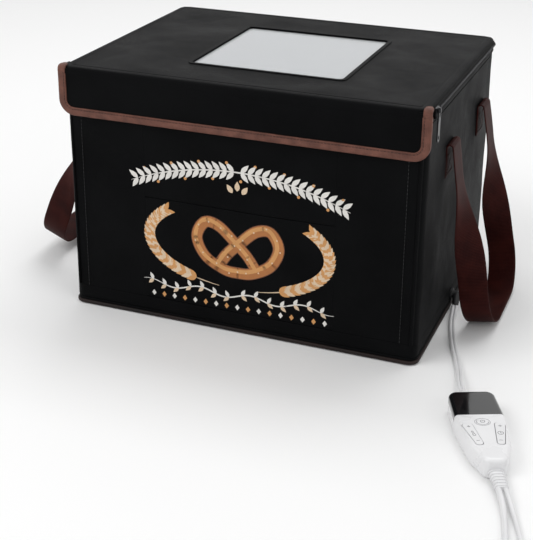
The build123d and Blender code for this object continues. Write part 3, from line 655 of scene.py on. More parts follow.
# ---- stitches, teeth and other repeats ----
def repeat_tree():
    """A Geometry Nodes tree: small rounded bars, one behind the other along a line."""
    tree = bpy.data.node_groups.new("row of bars", "GeometryNodeTree")
    tree.is_modifier = True
    for label, kind, value in (("Geometry", "Geometry", None), ("Spacing", "Float", 0.004),
                               ("Bar", "Vector", (0.0005, 0.003, 0.0004)), ("Round", "Float", 0.45),
                               ("Finish", "Material", None)):
        socket = tree.interface.new_socket(label, in_out="INPUT", socket_type="NodeSocket" + kind)
        if value is not None:
            socket.default_value = value
    tree.interface.new_socket("Geometry", in_out="OUTPUT", socket_type="NodeSocketGeometry")
    net = Net(tree)
    given, out = net.add("NodeGroupInput").outputs, net.add("NodeGroupOutput")
    line = net.add("GeometryNodeMeshToCurve", {0: given["Geometry"]})
    points = net.add("GeometryNodeCurveToPoints", {"Curve": line, "Length": given["Spacing"]}, mode="LENGTH")
    cube = net.add("GeometryNodeMeshCube", {"Size": given["Bar"], "Vertices X": 2, "Vertices Y": 3,
                                            "Vertices Z": 2})
    # the bar's outer ends draw in, so that it looks rounded
    axes, size = (net.add("ShaderNodeSeparateXYZ", {0: value}).outputs
                  for value in (net.add("GeometryNodeInputPosition"), given["Bar"]))
    share = net.maths("MULTIPLY", net.maths("ABSOLUTE", net.maths("DIVIDE", axes[1], size[1])), 2.0)
    keep = net.maths("SUBTRACT", 1.0, net.maths("MULTIPLY", share, given["Round"]))
    drawn = net.add("ShaderNodeCombineXYZ", {0: net.maths("MULTIPLY", axes[0], keep), 1: axes[1],
                                             2: net.maths("MULTIPLY", axes[2], keep)})
    bar = net.add("GeometryNodeSetPosition", {"Geometry": cube, "Position": drawn})
    rows = net.add("GeometryNodeInstanceOnPoints", {"Points": points, "Instance": bar,
                                                    "Rotation": points.outputs["Rotation"]})
    real = net.add("GeometryNodeRealizeInstances", {0: rows})
    net.feed(out.inputs["Geometry"],
             net.add("GeometryNodeSetMaterial", {"Geometry": real, "Material": given["Finish"]}))
    return tree


BARS = repeat_tree()


def row_of_bars(name, lines, spacing, bar, body, ink=None, slot=None, rounding=0.45):
    """Bars along lines of points in millimetres; bar is (across, along, thick)."""
    verts, edges = [], []
    for line in lines:
        base = len(verts)
        verts += [metres(p) for p in line]
        edges += [(base + k, base + k + 1) for k in range(len(line) - 1)]
    mesh = bpy.data.meshes.new(name + "_lines")
    mesh.from_pydata(verts, edges, [])
    guide = linked(name + "_lines", mesh)
    modifier = guide.modifiers.new("bars", "NODES")
    modifier.node_group = BARS
    across, along, thick = metres(bar)
    settings = {"Spacing": spacing * MM, "Bar": [across, thick, along], "Round": rounding,
                "Finish": LOOK[ink or slot]}
    for item in BARS.interface.items_tree:
        if item.item_type == "SOCKET" and item.in_out == "INPUT" and item.name in settings:
            modifier[item.identifier] = settings[item.name]
    made = bpy.data.meshes.new_from_object(guide.evaluated_get(bpy.context.evaluated_depsgraph_get()))
    made.name = name
    bpy.data.objects.remove(guide)
    bpy.data.meshes.remove(mesh)
    made.shade_smooth()
    return place_piece(name, made, slot, body, ink=ink)


# ---- box: soft skins ----
def slack(point, size, amount, seed=0.0):
    """A slow uneven rise of cloth at a point."""
    return amount * noise.noise(Vector(point) / size + Vector((seed, seed * 1.7, 3.1)))


def ring_outline():
    """Points round the box, anticlockwise, with the way out at each; the first one comes again last."""
    in_x, in_y, size = HALF_W - CORNER_R, HALF_D - CORNER_R, 6.0
    corners = [Vector((sx * in_x, sy * in_y, 0)) for sx, sy in ((1, 1), (-1, 1), (-1, -1), (1, -1))]
    points = []
    for k, corner in enumerate(corners):
        for angle in steps(90 * k, 90 * k + 90, 11.25):
            way = Vector((*turned(angle), 0))
            points.append((corner + way * CORNER_R, way))
        here, out = points[-1]
        end = corners[(k + 1) % 4] + out * CORNER_R
        for share in steps(0, 1, size / (end - here).length)[1:-1]:
            points.append((here.lerp(end, share), out))
    return points + points[:1]


RING = ring_outline()


def ring_at(z, out):
    return [at + way * out + Z * z for at, way in RING]


def make_tray_cover():
    """The stiff base's cover: a soft upright band over a narrow bottom edge."""
    outer = []
    for z, out in ((TRAY_TOP, -PANEL), (TRAY_TOP, -1.0), (TRAY_TOP - 0.4, -0.2), (20, 0.15), (14, 0.25),
                   (9.5, 0.2), (8.3, -0.9), (7.1, 0.2), (5, 0.2), (2.0, 0.1), (0.6, -0.4), (0.0, -1.6),
                   (0.0, -9), (0.0, -40)):
        soft = 0.25 if 9 < z < 22 else 0
        outer.append([at + way * (out + slack((at.x, at.y, z), 30, soft)) + Z * z for at, way in RING])
    inner = [ring_at(TRAY_TOP, -PANEL), ring_at(2.6, -PANEL)]
    form = joined([lattice(outer, (len(outer) - 1,)), lattice(inner, (1,))])
    cloth_piece("tray_cover_made", form, "base", "base_cover")


def cloth_rise(x, y, z):
    """How far a wall's cloth stands out at a point."""
    edge = max(0.0, min(1.0, (z - TRAY_TOP) / 18, (WALL_TOP - z) / 14))
    return (slack((x, y, z), 55, 1.2, 2.0) + slack((x, y, z), 22, 0.3, 7.0)) * edge


def end_wall_rows(side, low, high, inset=0.0):
    """The soft U of one end, from bottom to top; its outside, with no inset, is padded."""
    start = LEAF_HALF + LEAF_GAP
    track = [(at, way) for at, way in RING[:-1] if side * at.x > start]
    track.sort(key=lambda p: atan2(p[0].y, side * p[0].x - 100))
    track = [(Vector((side * start, -HALF_D, 0)), -Y), *track, (Vector((side * start, HALF_D, 0)), Y)]
    rows = []
    for z in steps(low, high, 6):
        row = []
        for at, way in track:
            rise = -inset
            if not inset:
                rise = cloth_rise(at.x, at.y, z)
                if abs(way.x) > 0.9:
                    flat = min(1.0, max(0.0, (HALF_D + 6 - abs(at.y)) / 60))
                    rise += 0.9 * sin(pi * (z - low) / (high - low)) * flat
            row.append(at + way * rise + Z * z)
        rows.append(row)
    return rows


def soft_wall(obj):
    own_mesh(obj)


def make_corner_seam(side, name, face, end, top):
    """A folded seam down a corner, with a stitch line beside it."""
    section = ((-1.6, -0.4), (-0.8, 0.75), (0.4, 1.05), (1.3, 0.5), (1.9, -0.4))
    ridge = []
    for z in steps(TRAY_TOP + 0.3, top - 0.3, 8):
        wob = slack((0, 0, z), 30, 0.35, 4.0 * face + side)
        ridge.append([Vector((side * SEAM_X + side * dx + wob, face * (HALF_D + dy + 0.25), z))
                      for dx, dy in section])
    under = moved(ridge, lambda p: (p.x, face * (HALF_D - 2.0), p.z))
    soft_wall(cloth_piece(f"{name}_{end}_seam", shell(ridge, under), "base"))
    line = [(side * STITCH_X, face * (HALF_D + 0.65), z) for z in steps(TRAY_TOP + 2, top - 3, 10)]
    soft_wall(row_of_bars(f"{name}_{end}_stitches", [line], 4.2, (0.55, 3.0, 0.4), "base", "thread_black"))


def make_end_walls():
    top = WALL_TOP - LEAF_GAP
    for side, name in SIDES:
        outer, flat, inner = (end_wall_rows(side, TRAY_TOP, top, inset)
                              for inset in (0.0, PANEL, PANEL + 0.8))
        soft_wall(cloth_piece(f"{name}_wall_made", shell(outer, flat), "base", f"{name}_wall"))
        soft_wall(piece(f"{name}_lining_made", shell(flat, inner), "foil_lining", "base",
                        f"{name}_wall_lining"))
        for face, end in FACES:
            make_corner_seam(side, name, face, end, top)


def panel_skin(name, face, low, high, body, node, edge=0.9):
    """A stiff leaf's skin, slightly padded, with rounded upper and lower edges."""
    def skin(z, x):
        drop = 0.5 * (1 - sin(0.5 * pi * min(1.0, (z - low) / edge, (high - z) / edge)))
        return x, face * (HALF_D + cloth_rise(x, face * HALF_D, z) - drop), z

    xs = steps(-LEAF_HALF - 0.2, LEAF_HALF + 0.2, 6)
    zs = [low, low + 0.3, low + edge, *steps(low + 3, high - 3, 5), high - edge, high - 0.3, high]
    rows = grid(zs, xs, skin)
    cloth_piece(name, shell(rows, moved(rows, lambda p: (p.x, face * (HALF_D - PANEL), p.z))), body, node)


def crease(name, face, z, reach=3.2):
    """A strip of the same cloth that carries the skin over a fold."""
    rows = grid(steps(-1, 1, 0.2), steps(-LEAF_HALF, LEAF_HALF, 6), lambda step, x: (
        x, face * (HALF_D - 0.75 - 0.9 * (1 - step * step)), z + reach * step))
    strip = cloth_piece(name, shell(rows, moved(rows, lambda p: (p.x, p.y - face * 0.8, p.z))))
    start, end = ((0, face * HALF_D * MM, (z + way * reach) * MM) for way in (-1, 1))
    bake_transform(strip)
    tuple(start)
    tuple(end)


def make_leaves():
    for face, side in FACES:
        for level, low, high in (("lower", TRAY_TOP, CREASE), ("upper", CREASE, WALL_TOP)):
            node = f"{side}_{level}_panel"
            panel_skin(f"{side}_{level}_made", face, low + LEAF_GAP, high - LEAF_GAP, BODY_OF[node], node)
            dressed(f"{side}_{level}_lining")
        crease(f"{side}_mid_crease", face, CREASE)
        crease(f"{side}_low_crease", face, TRAY_TOP, 2.0)
    crease("back_top_crease", 1, WALL_TOP, 2.0)
    dressed("front_loop_strip", 0.2)


make_tray_cover()
make_end_walls()
make_leaves()


# ---- rim band and lid ----
def make_rim():
    profile = ((RIM_LOW, -PANEL), (RIM_LOW, -0.8), (262.9, -0.1), (265, 0.1), (270, 0.1), (273, 0.0),
               (273.7, -0.3), (RIM_TOP, -0.9), (RIM_TOP, -PANEL), (RIM_LOW, -PANEL))
    cloth_piece("rim_band_made", lattice([ring_at(z, out) for z, out in profile]), "rim", "rim_band")
    front = grid(steps(-180, 180, 8), steps(264, 280, 4), lambda x, z: (x, LID_REAR - 0.1, z))
    back = moved(front, lambda p: (p.x, 150.8 + slack((p.x, 0, p.z), 20, 0.1), p.z))
    piece("lid_hinge_tape", shell(front, back), "zip_tape", "rim")
    line = [(x, 151.0, 267) for x in steps(-176, 176, 8)]
    row_of_bars("hinge_tape_stitches", [line], 4.2, (0.5, 3.0, 0.35), "rim", "thread_black")


def square_ring(centre, half_x, half_y, radius, z, per_side=40):
    """Points round a rectangle, each side with the same count, anticlockwise from its right end."""
    signs = ((1, -1), (1, 1), (-1, 1), (-1, -1))
    corners = [Vector((centre[0] + sx * half_x, centre[1] + sy * half_y, z)) for sx, sy in signs]
    rounded = []
    for k, start in enumerate(corners):
        for n in range(per_side):
            p = start.lerp(corners[(k + 1) % 4], n / per_side)
            off = Vector((p.x - centre[0], p.y - centre[1]))
            dx, dy = abs(off.x) - (half_x - radius), abs(off.y) - (half_y - radius)
            if dx > 0 and dy > 0:
                away = Vector((dx, dy)).normalized() * radius
                p.x = centre[0] + copysign(half_x - radius + away.x, off.x)
                p.y = centre[1] + copysign(half_y - radius + away.y, off.y)
            rounded.append(p)
    return rounded + rounded[:1]


def make_lid():
    mid, half_d = (0, (LID_FRONT + LID_REAR) / 2), (LID_REAR - LID_FRONT) / 2

    def outer(inset, z):
        return square_ring(mid, LID_HALF_W - inset, half_d - inset, max(1.0, CORNER_R - inset), z)

    def hole(grow, z, radius=5):
        return square_ring(WINDOW_AT, WINDOW_HALF + grow, WINDOW_HALF + grow, radius + grow, z)

    inner, rim = hole(4.5, LID_SKIN), outer(14, LID_SKIN)
    rows = [hole(0.0, 279.9), hole(0.0, 280.7), hole(0.5, LID_SKIN), inner]
    for share in steps(0, 1, 0.09)[1:]:
        row = [a.lerp(b, share) for a, b in zip(inner, rim)]
        for p in row:
            rise = slack((p.x, p.y, 0), 60, 1.1, 5.0) + slack((p.x, p.y, 0), 25, 0.3, 8.0)
            p.z += rise * sin(pi * share) ** 0.6
        rows.append(row)
    channel, depth, reach = 9.2, 0.75, 1.2
    for inset in (12, 10.6, 9.9, 9.2, 8.5, 7.8, 6.8, 5):
        groove = depth * max(0.0, 1 - abs(inset - channel) / reach)
        ring = outer(inset, LID_SKIN)
        for p in ring[:-1]:
            soft = slack((p.x, p.y, 0), 30, 0.25, 5.0) * 0.6
            p.z += soft + 0.25 * (12 - inset) / 7 - groove * (1 if p.y < LID_FRONT + 14 else 0.4)
        rows.append(ring)
    for angle in steps(0, 90, 15):
        c, s = turned(angle)
        rows.append(outer(3 - 3 * s, LID_SKIN - 3 + 3 * c))
    rows += [outer(0, 276), outer(0.1, 274.6), outer(0.5, LID_LOW), outer(2.2, LID_LOW), outer(2.2, 279.8),
             hole(2, 279.8), rows[0]]
    cloth_piece("lid_cover_made", lattice(rows), "lid", "lid_cover")
    dressed("lid_board")
    dressed("lid_lining")
    dressed("window_pane", sharp=20)
    dressed("window_frame", 0.25, ink="shell_fabric")
    row_of_bars("window_stitches", [hole(2.6, 282.05, 4.4)], 4.0, (0.45, 2.8, 0.3), "lid", "thread_black")


# ---- flap and its binding ----
def flap_edge(size=3.0):
    """The flap's edge from its left top corner down, along and up, with the way out at each point."""
    half, low = FLAP_HALF_W - FLAP_R, FLAP_BOTTOM + FLAP_R
    left, right = ([(Vector((side * FLAP_HALF_W, 0, z)), X * side) for z in steps(FLAP_TOP, low, size)]
                   for side in (-1, 1))
    corners = []
    for x, start in ((-half, 180), (half, 270)):
        ways = [Vector((c, 0, s)) for c, s in map(turned, steps(start, start + 90, 9))]
        corners.append([(Vector((x, 0, low)) + way * FLAP_R, way) for way in ways])
    along = [(Vector((x, 0, FLAP_BOTTOM)), -Z) for x in steps(-half, half, size)]
    return left[:-1] + corners[0] + along[1:-1] + corners[1] + right[::-1][1:]


def flap_rise(x, z):
    edge = min(1.0, (z - FLAP_BOTTOM) / 14, (FLAP_TOP + 3 - z) / 10)
    return (slack((x, 0, z), 55, 1.0, 12.0) + slack((x, 0, z), 20, 0.3, 15.0)) * max(0.0, edge)


def blend_flap(obj):
    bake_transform(obj)


def make_flap_panel():
    half = FLAP_HALF_W - FLAP_R - LEAF_GAP
    levels = [FLAP_BOTTOM + FLAP_R * (1 - turned(angle)[0]) for angle in (0, 12, 25, 40, 55, 72)]
    levels += steps(FLAP_BOTTOM + FLAP_R, FLAP_TOP, 4)

    def skin(z, share):
        sunk = max(0.0, FLAP_BOTTOM + FLAP_R - z)
        x = (half + sqrt(max(0.0, FLAP_R ** 2 - sunk ** 2))) * share
        return x, LID_FRONT - flap_rise(x, z), z

    front = grid(levels, [k / 66 for k in range(-66, 67)], skin)
    back = moved(front, lambda p: (p.x, LID_FRONT + 4, p.z))
    cloth_piece("flap_panel_made", shell(front, back), "flap", "flap_panel")
    dressed("flap_hook_strip", 0.2)


def make_fold_cloth():
    """The cloth runs on from the lid's front edge over the fold into the flap."""
    rows = []
    for k, z in enumerate(steps(270.5, 278.6, 0.9)):
        out, pull = 0.15 - 0.55 * sin(pi * k / 9), 0.4 if z < RIM_TOP else 0
        rows.append([Vector((x, LID_FRONT + out - flap_rise(x, z) * pull, z)) for x in steps(-197, 197, 6)])
    fold = cloth_piece("flap_fold_cloth", shell(rows, moved(rows, lambda p: (p.x, p.y + 1.2, p.z))))
    blend_flap(fold)


def make_binding():
    section = ((-9.0, -0.1), (-8.8, -0.75), (-8.3, -1.0), (-7.7, -0.85), (-7.3, -0.5), (-5.5, -0.72),
               (-2.5, -0.75), (-0.6, -0.6), (0.35, 0.0), (0.6, 1.0), (0.6, 3.0), (0.35, 4.0), (-0.6, 4.6),
               (-5, 4.7), (-9, 4.6), (-9.1, 4.0), (-9.0, -0.1))
    track = flap_edge()
    rows = []
    for at, way in track:
        row = []
        for out, deep in section:
            soft = slack((at.x + out, deep, at.z), 9, 0.16, 21.0)
            row.append(at + way * (out + soft) + Y * (LID_FRONT + deep - abs(soft) * 0.6))
        rows.append(row)
    piece("flap_binding_made", lattice(rows, (0, len(rows) - 1)), "trim_binding", "flap", "flap_binding")
    line = [at + way * -6.6 + Y * (LID_FRONT - 0.82) for at, way in track]
    row_of_bars("binding_stitches", [line], 3.6, (0.5, 2.5, 0.4), "flap", "thread_dark")


def make_binding_ends():
    """The binding's ends run up over the lid's front corners and end round."""
    # how far back and how high the cloth lies, its way out, and how much it narrows
    track = ((0, 273.9, -1, 0, 0), (-0.1, 276.5, -1, 0.15, 0), (0.3, 279.0, -0.9, 0.45, 0),
             (1.6, 280.9, -0.6, 0.8, 0), (3.8, 281.7, -0.2, 1, 0), (6.5, 281.9, 0, 1, 0.3),
             (8.5, 281.9, 0, 1, 1.3), (9.8, 281.8, 0, 1, 3.6))
    section = ((195.0, 1, 0.2), (195.6, 1, 0.9), (198.5, 0, 0.8), (201.5, 0, 0.75), (203.2, -1, 0.55),
               (203.9, -1, 0))
    for side, name in SIDES:
        rows, back = ([[Vector((side * (x + turn * pull), LID_FRONT + y + dy * (up - under),
                                z + dz * (up - under))) for x, turn, up in section]
                       for y, z, dy, dz, pull in track] for under in (0, 1.6))
        blend_flap(piece(f"{name}_binding_end", shell(rows, back), "trim_binding"))


# ---- zip ----
def make_zip():
    for node in ("wall_zip_tapes", "lid_zip_tapes"):
        dressed(node, 0.25)
    for side, name in SIDES:
        for body, level, shift in (("rim", 273.5, 0.0), ("lid", 274.6, 0.75)):
            line = [(side * (HALF_W + 2.3), y + shift, level)
                    for y in steps(1 - ZIP_HALF_L, ZIP_HALF_L - 2, 10)]
            row_of_bars(f"{name}_{body}_teeth", [line], 1.5, (1.7, 0.8, 1.1), body, slot="zip_metal",
                        rounding=0.1)
        line = [(side * (HALF_W + 0.85), y, 267.5) for y in steps(1 - ZIP_HALF_L, ZIP_HALF_L - 1, 10)]
        row_of_bars(f"{name}_tape_stitches", [line], 3.2, (0.4, 2.2, 0.35), "rim", "thread_black")
        dressed(f"{name}_zip_slider", 0.35)
        dressed(f"{name}_zip_pull", 0.3)


# ---- carrying straps ----
def ribbon(name, stations, side, body, node, start=0.0):
    """A strap through stations of (centre, width's direction, normal), laid out on its own map."""
    widths = (-1.0, -0.97, -0.85, -0.6, -0.3, 0.0, 0.3, 0.6, 0.85, 0.97, 1.0)
    fat = (0.35, 0.8, 0.95, 1.0, 1.0, 1.0, 1.0, 1.0, 0.95, 0.8, 0.35)
    outer, inner = ([[centre + wide * (w * STRAP_W / 2) + normal * (way * f * STRAP_T / 2)
                      for w, f in zip(widths, fat)] for centre, wide, normal in stations] for way in (1, -1))
    along = [start]
    for (last, *_), (centre, *_) in zip(stations, stations[1:]):
        along.append(along[-1] + (centre - last).length)
    verts, faces = shell(outer, inner)
    if side < 0:
        faces = [tuple(reversed(face)) for face in faces]
    mesh = bpy.data.meshes.new(name)
    mesh.from_pydata([metres((side * v.x, v.y, v.z)) for v in verts], [], faces)
    cols, count = len(widths), len(stations) * len(widths)
    layout = mesh.uv_layers.new(name="strap")
    for loop in mesh.loops:
        k = loop.vertex_index % count
        layout.data[loop.index].uv = (widths[k % cols] * STRAP_W / 2, along[k // cols])
    settle(mesh, 50)
    return place_piece(name, mesh, "strap_webbing", body, node)


def loop_stations(top, out, down):
    """The hanging loop: down one leg with a quarter twist, round the foot and up the other leg."""
    foot, turn_at = STRAP_FOOT_R, STRAP_DROP - STRAP_FOOT_R

    def leg(y, fall, way):
        c, s = turned(90 * ease(min(1.0, max(0.0, (fall - 40) / (turn_at - 45)))))
        return y, fall, way, Y * c + out * s

    track = [leg(STRAP_FRONT, fall, down) for fall in steps(0, turn_at, 5)]
    quarter = [turned(angle) for angle in steps(0, 90, 7.5)[1:]]
    track += [(STRAP_FRONT + foot * (1 - c), turn_at + foot * s, down * c + Y * s, out) for c, s in quarter]
    track += [(y, STRAP_DROP, Y, out) for y in steps(STRAP_FRONT + foot, STRAP_REAR - foot, 6)[1:]]
    track += [(STRAP_REAR - foot * (1 - s), turn_at + foot * c, Y * c - down * s, out) for c, s in quarter]
    track += [leg(STRAP_REAR, fall, -down) for fall in steps(turn_at, 0, 5)[1:]]
    stations = []
    for y, fall, ahead, wide in track:
        bow = 2.2 * sin(pi * min(1, fall / turn_at)) * sin(y / 37 + fall / 60)
        stations.append((top + Y * y + down * fall + out * bow, wide, ahead.cross(wide).normalized()))
    return stations


def make_strap_end(side, name, place, y):
    """One sewn end with its box stitch, and the arch that carries the loop out of it."""
    stations = [(Vector((STRAP_PIVOT.x - STRAP_BEND, y, z)), Y, -X) for z in (SEWN_TOP, 214.2)]
    for angle in steps(180, max(15, STRAP_LEAN[name] + 3), 11):
        c, s = turned(angle)
        way = Vector((c, 0, s))
        stations.append((STRAP_PIVOT + Y * y + way * STRAP_BEND, Y, way))
    ribbon(f"{name}_{place}_arch", stations, side, f"{name}_strap_root", f"{name}_strap_arches", -18)
    stations = [(Vector((HALF_W + 1.1 + 0.25 * sin(z), y, z)), Y, X) for z in steps(SEWN_LOW, SEWN_TOP, 3)]
    soft_wall(ribbon(f"{name}_{place}_end", stations, side, "base", f"{name}_strap_ends", -48))
    x, half, low, high = side * (HALF_W + 2.05), 12, 186, 207
    a, b, c, d = ((x, y + across, z)
                  for across, z in ((-half, low), (half, low), (half, high), (-half, high)))
    soft_wall(row_of_bars(f"{name}_{place}_box_stitches", [[a, b, c, d, a], [a, c], [b, d]], 2.9,
                          (0.5, 2.1, 0.4), "base", "thread_dark"))


def make_straps():
    for side, name in SIDES:
        c, s = turned(STRAP_LEAN[name])
        out, down = Vector((c, 0, s)), Vector((s, 0, -c))
        top = STRAP_PIVOT + out * STRAP_BEND
        loop = ribbon(f"{name}_loop_made", loop_stations(top, out, down), side, None, f"{name}_strap_loop")
        start, end = ((side * p.x * MM, 0, p.z * MM) for p in (top, top + down * 22))
        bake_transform(loop)
        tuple(start)
        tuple(end)
        for y, place in ((STRAP_FRONT, "front"), (STRAP_REAR, "rear")):
            make_strap_end(side, name, place, y)


# ---- base fittings ----
def make_heating_mat():
    half_x, half_y, low, high = 165, 115, 6.35, 9.1

    def quilt(x, y):
        cells = abs(sin(pi * x / 55) * sin(pi * y / 57.5)) ** 0.35
        edge = min(1.0, (half_x - abs(x)) / 6, (half_y - abs(y)) / 6)
        return x, y, low + (high - low) * (0.45 + 0.55 * cells) * (0.35 + 0.65 * edge)

    top = grid(steps(-half_x, half_x, 5), steps(-half_y, half_y, 5), quilt)
    form = shell(top, moved(top, lambda p: (p.x, p.y, low)))
    pad = piece("heating_pad_made", form, "heating_pad", "base", "heating_mat", sharp=60)
    work = bmesh.new()
    bmesh.ops.create_cube(work, size=1, matrix=Matrix.LocRotScale(
        Vector((152, 4, 11.7)) * MM, None, Vector((26, 22, 10.2)) * MM))
    bmesh.ops.bevel(work, geom=work.edges[:], offset=2.4 * MM, segments=3, profile=0.5, affect="EDGES")
    mesh = bpy.data.meshes.new("mat_junction_box")
    work.to_mesh(mesh)
    work.free()
    settle(mesh)
    place_piece("mat_junction_box", mesh, "plug_body", "base", "heating_mat")
    stub = tube([Vector((x, 4, 14)) for x in steps(163, 194, 4)], 2.6)
    piece("mat_lead_stub", stub, "cord_jacket", "base", "heating_mat")


def make_base_fittings():
    dressed("base_board")
    dressed("base_lining")
    dressed("base_binding", 0.2, ink="piping_dark")
    dressed("cable_grommet", 0.3, ink="bush_rubber")
    dressed("wire_rack", sharp=60)
    dressed("mains_plug", 0.4)
    dressed("sensor_probe", 0.4)


# ---- controller ----
def flat_lines(name, lines, width, place, body, thick=0.08, sunk=0.25):
    """Printed lines: each a run of (u, v) points on a plane given by place(u, v)."""
    parts = []
    for line in lines:
        pts = [Vector((*p, 0)) for p in line]
        closed = line[0] == line[-1]
        edges = [], []
        for k, p in enumerate(pts):
            before = pts[k - 1] if k else (pts[-2] if closed else p)
            after = pts[k + 1] if k + 1 < len(pts) else (pts[1] if closed else p)
            way = (after - before).normalized()
            for edge, half in zip(edges, (width / 2, -width / 2)):
                edge.append(p + Vector((-way.y, way.x, 0)) * half)
        parts.append(shell(*(moved(edges, lambda p: place(p.x, p.y) + Z * rise) for rise in (thick, -sunk))))
    piece(name, joined(parts), body=body, ink="mark_grey")


def arc_line(cx, cy, radius, start, end, size=12, squeeze=1.0):
    return [(cx + radius * c, cy + squeeze * radius * s) for c, s in map(turned, steps(start, end, size))]


def make_controller():
    for node, bevel, sharp in (
            ("controller_top_shell", 0.5, 30), ("controller_bottom_shell", 0.4, 30),
            ("display_lens", 0.35, 30), ("power_key", 0.0, 30), ("temperature_key", 0.0, 30),
            ("time_key", 0.0, 30),
            ("heater_strain_relief", 0.35, 30), ("mains_strain_relief", 0.35, 30),
            ("control_board", 0.0, 35), ("controller_screws", 0.0, 35)):
        dressed(node, bevel, sharp)
    flat_lines("power_mark", [arc_line(0, 4, 2.0, 120, 420), [(0, 4.2), (0, 6.6)]], 0.5,
               lambda u, v: ctrl_point(u, v, KEY_TOP), "power_key")
    flat_lines("power_outline", [arc_line(0, 4, 7.3, 0, 360, 10, 0.82)], 0.35,
               lambda u, v: ctrl_point(u, v, SHELL_TOP), "base")
    thermometer = [[(-0.7, 3.2), (-0.7, -1.0)], [(0.7, 3.2), (0.7, -1.0)], arc_line(0, 3.2, 0.7, 0, 180, 30),
                   arc_line(0, -2.3, 1.4, 115, 425, 20)]
    clock = [arc_line(0, 0, 2.6, 0, 360, 15), [(0, 0), (0, 1.7)], [(0, 0), (1.2, -0.5)]]
    plus_minus = [[(-1.7, 12), (1.7, 12)], [(0, 10.3), (0, 13.7)], [(-1.7, -12), (1.7, -12)]]
    for side, name, mark in ((-1, "temperature", thermometer), (1, "time", clock)):
        c, s = turned(-side * 10)

        def on_rocker(u, v):
            return ctrl_point(side * 12.6 + u * c - v * s, -16 + u * s + v * c, KEY_TOP)

        flat_lines(f"{name}_marks", plus_minus + mark, 0.45, on_rocker, f"{name}_key")


# ---- print on the front ----
class Artwork:
    """Flat shapes in inks, gathered for each body that they lie on."""

    def __init__(self):
        self.parts = {}

    def patch(self, points, ink, level):
        """A filled shape from its outline, as a low prism that follows the cloth."""
        count = len(points)
        cx, cz = (sum(p[k] for p in points) / count for k in (0, 1))
        body, side = ("front_lower" if cz < CREASE else "front_upper"), ""
        if abs(cx) > LEAF_HALF:
            body, side = "base", "_right" if cx > 0 else "_left"
        lift = 0.14 + 0.07 * level
        verts = [Vector((x, -HALF_D - cloth_rise(x, -HALF_D, z) - lift, z)) for x, z in points]
        verts += [v + Y * (lift + 0.5) for v in verts]
        faces = [tuple(range(count)), tuple(reversed(range(count, 2 * count)))]
        faces += [(k, k + count, m + count, m) for k, m in ((k, (k + 1) % count) for k in range(count))]
        self.parts.setdefault((body, side, ink), []).append((verts, faces))

    def line(self, points, width, ink, level, taper=False):
        """A stroke of even or tapering width along points."""
        pts = [Vector((*p, 0)) for p in points]
        sides = []
        for k, p in enumerate(pts):
            way, share = heading(pts, k), k / (len(pts) - 1)
            half = width / 2 * (min(1.0, 6 * share, 6 * (1 - share)) * 0.75 + 0.25 if taper else 1.0)
            across = Vector((-way.y, way.x, 0)) * half
            sides.append(((p + across)[:2], (p - across)[:2]))
        for (a, b), (c, d) in zip(sides, sides[1:]):
            self.patch([a, b, d, c], ink, level)

    def leaf(self, x, z, length, width, turn, ink, level):
        """A pointed leaf or grain that starts at a point."""
        half = [(share * length, sin(pi * share ** 0.8) * width / 2)
                for share in (0, 0.15, 0.35, 0.6, 0.85, 1.0)]
        outline = half + [(s, -w) for s, w in reversed(half[1:-1])]
        c, s = turned(turn)
        self.patch([(x + run * c - out * s, z + run * s + out * c) for run, out in outline], ink, level)

    def dot(self, x, z, radius, ink, level):
        self.patch([(x + radius * c, z + radius * s) for c, s in map(turned, range(0, 360, 30))], ink, level)

    def make(self):
        for (body, side, ink), parts in sorted(self.parts.items()):
            obj = piece(f"{ink}_{body}{side}", joined(parts), body=body, ink=ink, outward=False)
            if body == "base":
                soft_wall(obj)


def smooth(points, per):
    """A flowing line through points."""
    out = []
    padded = [points[0], *points, points[-1]]
    for run in zip(padded, padded[1:], padded[2:], padded[3:]):
        for t in (k / per for k in range(per)):
            out.append(tuple(0.5 * (2 * q + (r - p) * t + (2 * p - 5 * q + 4 * r - s) * t * t
                                    + (3 * q - p - 3 * r + s) * t ** 3) for p, q, r, s in zip(*run)))
    return out + [points[-1]]


def print_pretzel(art, mid_z, grow=1.05):
    rope = smooth([(-21, -26), (-11, -11), (3, 3), (20, 18), (36, 20), (45, 3), (36, -17), (16, -29),
                   (0, -31), (-16, -29), (-36, -17), (-45, 3), (-36, 20), (-20, 18), (-3, 3), (11, -11),
                   (21, -26)], 7)
    rope = [(grow * x, mid_z + grow * z) for x, z in rope]
    art.line(rope, 13.5, "print_dark", 0)
    art.line(rope, 11.8, "print_crust", 1)
    art.line([(x - 1.6, z + 2.0) for x, z in rope], 4.6, "print_gold", 2)
    for k in range(6, len(rope) - 6, 5):
        x, z = rope[k]
        art.dot(x + 2.2 * sin(k * 2.3), z + 2.2 * cos(k * 1.7), 0.95, "print_cream", 3)


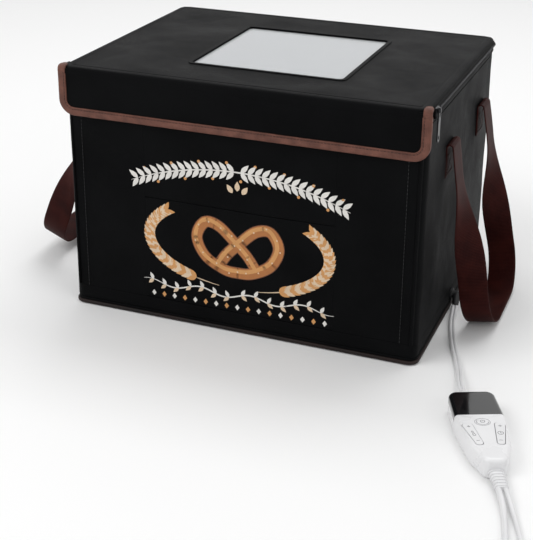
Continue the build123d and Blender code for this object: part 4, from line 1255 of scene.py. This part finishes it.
def print_wheat(art, mid_z, reach_x=103, reach_z=50):
    for side, _ in SIDES:
        stem = [(side * reach_x * c, mid_z + reach_z * s) for c, s in map(turned, range(-78, 42, 4))]
        stem = [p for p in stem if p[1] < CREASE - 3]
        art.line(stem, 1.5, "print_cream", 1, taper=True)
        for k in range(4, len(stem) - 1):
            (x0, z0), (x1, z1) = stem[k], stem[k + 1]
            along = degrees(atan2(z1 - z0, x1 - x0))
            for way in (32, -32):
                if z0 + 7 < CREASE - 2:
                    art.leaf(x0, z0, 12.5, 5.6, along + way, ("print_gold", "print_cream")[k % 2], 2)


def print_garland(art, top=187, drop=26, half=124):
    arch = [(x, top - drop * (x / half) ** 2) for x in range(-half, half + 1, 4)]
    art.line(arch, 1.5, "print_white", 1, taper=True)
    for k in range(2, len(arch) - 2, 2):
        x, z = arch[k]
        ahead = 0 if x > 0 else 180
        for way in ((48, -48) if x > 0 else (-48, 48)):
            art.leaf(x, z, 13, 5.4, ahead + way - 12 * x / half, "print_white", 2)
        if k % 4 == 0:
            art.dot(x, z + (9.5 if k % 8 else -9.5), 1.7, "print_gold", 2)
    for x in (-9, 0, 9):
        art.leaf(x * 0.6, 166 - abs(x) * 0.3, 11, 6, 90 - 4 * x, "print_cream", 2)


def print_twig(art, level=44, wave_h=3.4):
    wave = [(x, level + wave_h * sin(x / 9.5)) for x in range(-112, 113, 3)]
    art.line(wave, 1.5, "print_white", 1, taper=True)
    for k in range(4, len(wave) - 3, 5):
        x, z = wave[k]
        for turn, ink in ((62, "print_white"), (-42, "print_cream")):
            art.leaf(x, z, 8.5, 4.2, turn if x > 0 else 180 - turn, ink, 2)


def print_diamonds(art, low=27, mid=30.5, high=34):
    for k in range(-8, 9):
        x = k * 12.5
        ink = ("print_white", "print_gold")[k % 2]
        art.patch([(x - 2.6, mid), (x, low), (x + 2.6, mid), (x, high)], ink, 1)


def make_print():
    art = Artwork()
    print_pretzel(art, 104)
    print_wheat(art, 102)
    print_garland(art)
    print_twig(art)
    print_diamonds(art)
    art.make()


for make in (make_rim, make_lid, make_flap_panel, make_fold_cloth, make_binding, make_binding_ends, make_zip,
             make_straps, make_heating_mat, make_base_fittings, make_controller, make_print):
    make()
